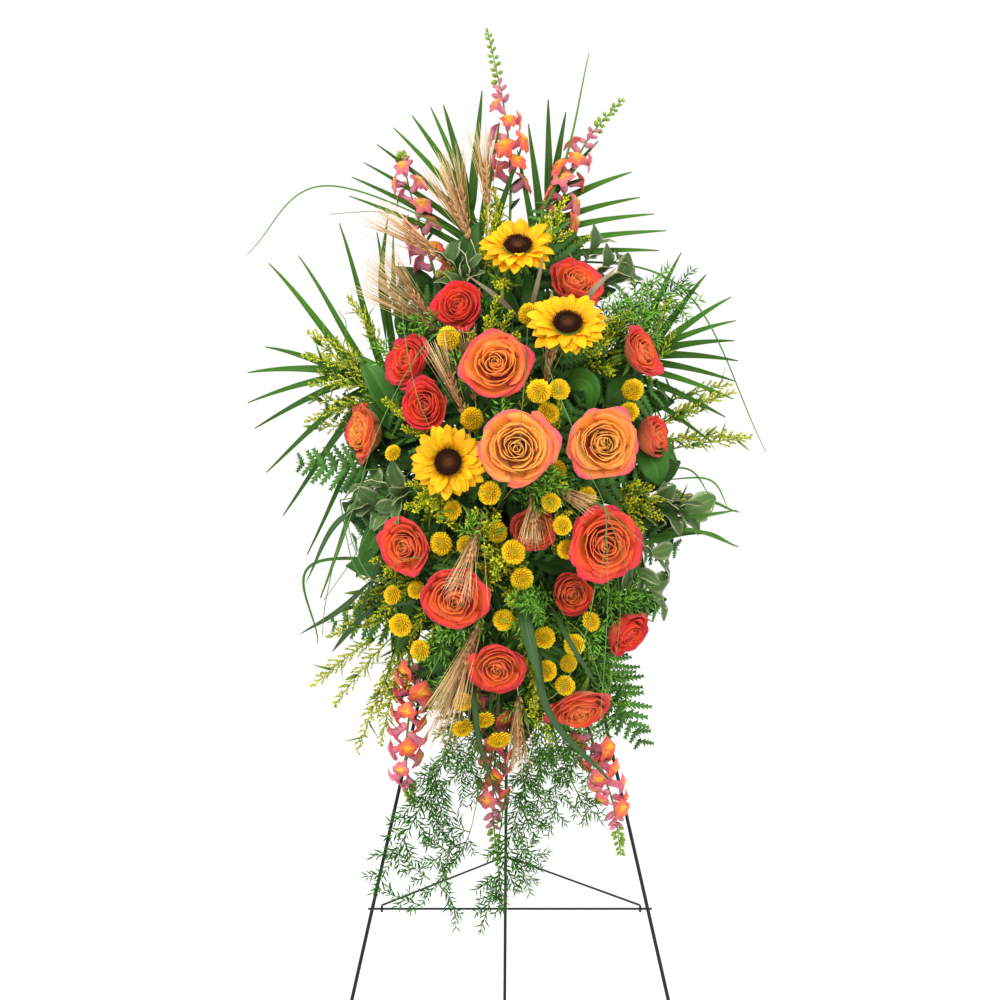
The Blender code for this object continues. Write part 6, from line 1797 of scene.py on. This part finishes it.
# Hair-thin grass that crosses the blooms: its spots
STRANDS = [
    [(472, 334, 20), (440, 332, 22), (410, 366, 22), (374, 440, 20), (352, 512, 16), (322, 592, 13)],
    [(402, 280, 10), (404, 330, 18), (416, 392, 22), (430, 428, 22)],
    [(528, 322, 18), (525, 376, 27), (521, 420, 29), (520, 452, 29)],
    [(536, 330, 20), (553, 380, 24), (572, 426, 26), (588, 470, 27), (606, 514, 25), (600, 584, 25)],
    [(606, 510, 24), (607, 540, 26), (608, 586, 26)],
    [(604, 506, 24), (616, 536, 26), (628, 572, 25)],
    [(600, 504, 22), (624, 526, 26), (644, 544, 25)],
    [(420, 460, 14), (388, 500, 15), (352, 560, 12), (324, 600, 10)],
    [(366, 470, 12), (340, 540, 11), (326, 600, 10), (322, 636, 10)],
    [(376, 476, 12), (348, 520, 12), (372, 580, 15), (400, 560, 19), (424, 558, 20)],
    [(340, 500, 12), (352, 560, 14), (372, 590, 15)],
    [(610, 560, 16), (606, 640, 20), (600, 720, 20), (596, 742, 20)],
    [(566, 620, 17), (586, 640, 20), (604, 690, 19), (612, 700, 17)],
    [(600, 560, 18), (584, 640, 21), (560, 690, 20), (530, 708, 20)],
    [(452, 640, 14), (438, 660, 16), (418, 700, 15)],
    [(616, 560, 12), (620, 620, 16), (608, 700, 16)],
    [(330, 400, 6), (346, 330, 6), (338, 310, 6)],
    [(460, 250, 6), (430, 224, 8), (380, 212, 8), (330, 214, 8)],
]


def loose_blades():
    piece = Piece("loose_blades", "loose blades")
    for look, half, spots in BLADES:
        places = seen_places(spots)
        sprig_stem(piece, places[0])
        path = through(places, 20)
        t = np.linspace(0, 1, len(path))
        width = half * CM * np.clip(np.sin(pi * (0.03 + 0.95 * t) ** 0.9), 0.04, 1)
        cols, wave = (9, 0.05) if half > 1 else (5, 0)
        piece.add(ribbon(path, width, 0.2, (0, -1, 0.4), cols, 0.6 * MM, wave, 1.5), look + "_blade")
    for spots in STRANDS:
        places = seen_places(spots)
        sprig_stem(piece, places[0], 0.8 * MM)
        path = through(places, 24)
        width = np.linspace(0.7, 0.35, len(path)) * MM
        piece.add(ribbon(path, width, 0.4, (0, -1, 0.2), 3, 0.4 * MM), "grass_strand")
    settle(piece, "grass_green")


# Trailing needle fern: twigs, their length (cm), bare share, spots
TRAILS = [
    (4, 2.6, 0.5, [(496, 700, 12), (482, 770, 13), (468, 838, 13), (438, 882, 12), (420, 906, 12)]),
    (5, 2.2, 0.1, [(430, 880, 12), (412, 866, 12), (391, 845, 12)]),
    (4, 1.8, 0.1, [(420, 905, 12), (404, 900, 12), (375, 888, 12)]),
    (3, 1.4, 0.1, [(438, 884, 12), (452, 902, 12), (456, 928, 12)]),
    (8, 3.4, 0.3, [(490, 716, 12), (470, 760, 13), (440, 790, 13), (416, 812, 12)]),
    (7, 3.2, 0.1, [(470, 832, 12), (448, 826, 13), (424, 818, 12)]),
    (6, 3, 0.1, [(466, 842, 12), (446, 850, 13), (430, 868, 12)]),
    (6, 3, 0.2, [(486, 730, 12), (468, 744, 13), (446, 760, 12)]),
    (6, 3, 0.3, [(496, 730, 12), (488, 770, 13), (470, 806, 12)]),
    (2, 1.6, 0.6, [(506, 790, 12), (498, 850, 13), (500, 884, 12), (506, 904, 12)]),
    (4, 2.2, 0.1, [(508, 904, 12), (496, 898, 12), (486, 884, 12)]),
    (5, 2.6, 0.1, [(508, 858, 12), (522, 868, 13), (530, 894, 12)]),
    (5, 2.6, 0.1, [(510, 850, 12), (528, 850, 13), (542, 862, 12)]),
    (8, 3.4, 0.2, [(530, 716, 12), (540, 762, 13), (538, 800, 13), (516, 846, 12)]),
    (8, 3.4, 0.2, [(536, 716, 12), (552, 762, 13), (556, 806, 13), (548, 836, 12)]),
    (6, 3, 0.2, [(528, 724, 10), (522, 766, 11), (528, 812, 12)]),
    (5, 2.6, 0.4, [(556, 740, 10), (574, 786, 11), (586, 806, 11), (602, 822, 10)]),
    (6, 3, 0.2, [(566, 730, 9), (574, 760, 10), (566, 796, 10)]),
]
TRAIL_NEEDLE = 15 * MM
# Trails that start above this row have a stem of their own; the others branch from those
TRAIL_ROW = 760


def trailing_fern():
    piece = Piece("trailing_needle_fern", "trails")
    for twigs, twig, bare, spots in TRAILS:
        places = seen_places(spots)
        if spots[0][1] < TRAIL_ROW:
            sprig_stem(piece, places[0])
        asparagus_strand(piece, places, twigs, twig * CM, TRAIL_NEEDLE, bare=bare)
    settle(piece, "asparagus_green")


# Easel, cage and foam, which stay the CAD solids

CAD_LOOKS = {"easel_": "enamelled_wire_paint", "foam_cage": "moulded_cage", "foam_block": "wet_flower_foam"}


def dress_easel():
    for name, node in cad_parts.items():
        for start, look in CAD_LOOKS.items():
            if name.startswith(start):
                node.data.materials.clear()
                node.data.materials.append(MATERIALS[look])


# The room: places in metres, power in watts

FLOOR_HALF = 6.0
# Lamps: name, place, size, power
SOFT_LAMPS = [("key_light", (-1.3, -2.3, 2.6), 1.4, 34), ("fill_light", (1.8, -2.2, 1.4), 1.6, 12)]
SPRAY_MIDDLE = Vector((0, -0.1, 0.95))
SUN_POWER = 0.5
SUN_ANGLE = radians(60)
SUN_TILT = radians(12)
CAMERA_PLACE = (-0.009, -2.2, 0.927)
CAMERA_LENS = 54.6
SENSOR_WIDTH = 36.0
VIEW_GAMMA = 0.82


def pale_floor():
    half = FLOOR_HALF
    corners = [(-half, -half, 0), (half, -half, 0), (half, half, 0), (-half, half, 0)]
    mesh = bpy.data.meshes.new("studio_floor")
    mesh.from_pydata(corners, [], [(0, 1, 2, 3)])
    blank("floor_paint", {"Roughness": 0.9, "Base Color": linear("F7F7F7")})
    mesh.materials.append(MATERIALS["floor_paint"])
    floor = into_scene("studio_floor", mesh)
    floor.location.z = -0.001


def lights():
    """A white room, two large soft lamps and a soft ceiling light."""
    world = bpy.data.worlds.new("studio")
    bpy.context.scene.world = world
    world.use_nodes = True
    world.node_tree.nodes["Background"].inputs["Color"].default_value = (1, 1, 1, 1)
    world.node_tree.nodes["Background"].inputs["Strength"].default_value = 1.0
    for name, place, size, power in SOFT_LAMPS:
        lamp = bpy.data.lights.new(name, "AREA")
        lamp.size = size
        lamp.energy = power
        item = into_scene(name, lamp)
        item.location = place
        item.rotation_euler = (SPRAY_MIDDLE - Vector(place)).to_track_quat("-Z", "Y").to_euler()
    sun = bpy.data.lights.new("ceiling_light", "SUN")
    sun.energy = SUN_POWER
    sun.angle = SUN_ANGLE
    into_scene("ceiling_light", sun).rotation_euler = (SUN_TILT, 0, 0)


def camera():
    """The photograph's camera: level, straight in front of the spray's middle."""
    scene = bpy.context.scene
    view = bpy.data.cameras.new("camera")
    view.lens = CAMERA_LENS
    view.sensor_width = SENSOR_WIDTH
    item = into_scene("camera", view)
    item.location = CAMERA_PLACE
    item.rotation_euler = (radians(90), 0, 0)
    scene.camera = item
    scene.view_settings.view_transform = "Standard"
    scene.view_settings.gamma = VIEW_GAMMA


# The whole spray

pale_floor()
lights()
camera()
dress_easel()
for node in dict.fromkeys(row[0] for row in ROSES):
    rose_group(node)
for grow, rows in ((sunflower_bloom, SUNFLOWERS), (snapdragon_spike, SNAPDRAGONS), (pom_group, POM_SPRAYS),
                   (solidago_group, SOLIDAGO), (wheat_group, WHEAT), (palm_frond, PALMS),
                   (leatherleaf_frond, LEATHERLEAF), (asparagus_frond, ASPARAGUS),
                   (pittosporum_stem, LEAFY), (broad_leaves, BROAD), (grass_blades, GRASS)):
    for row in rows:
        grow(*row)
backing_leaves()
for row in FERNS:
    fern_filling(*row)
golden_filling()
needle_filling()
variegated_filling()
loose_blades()
trailing_fern()
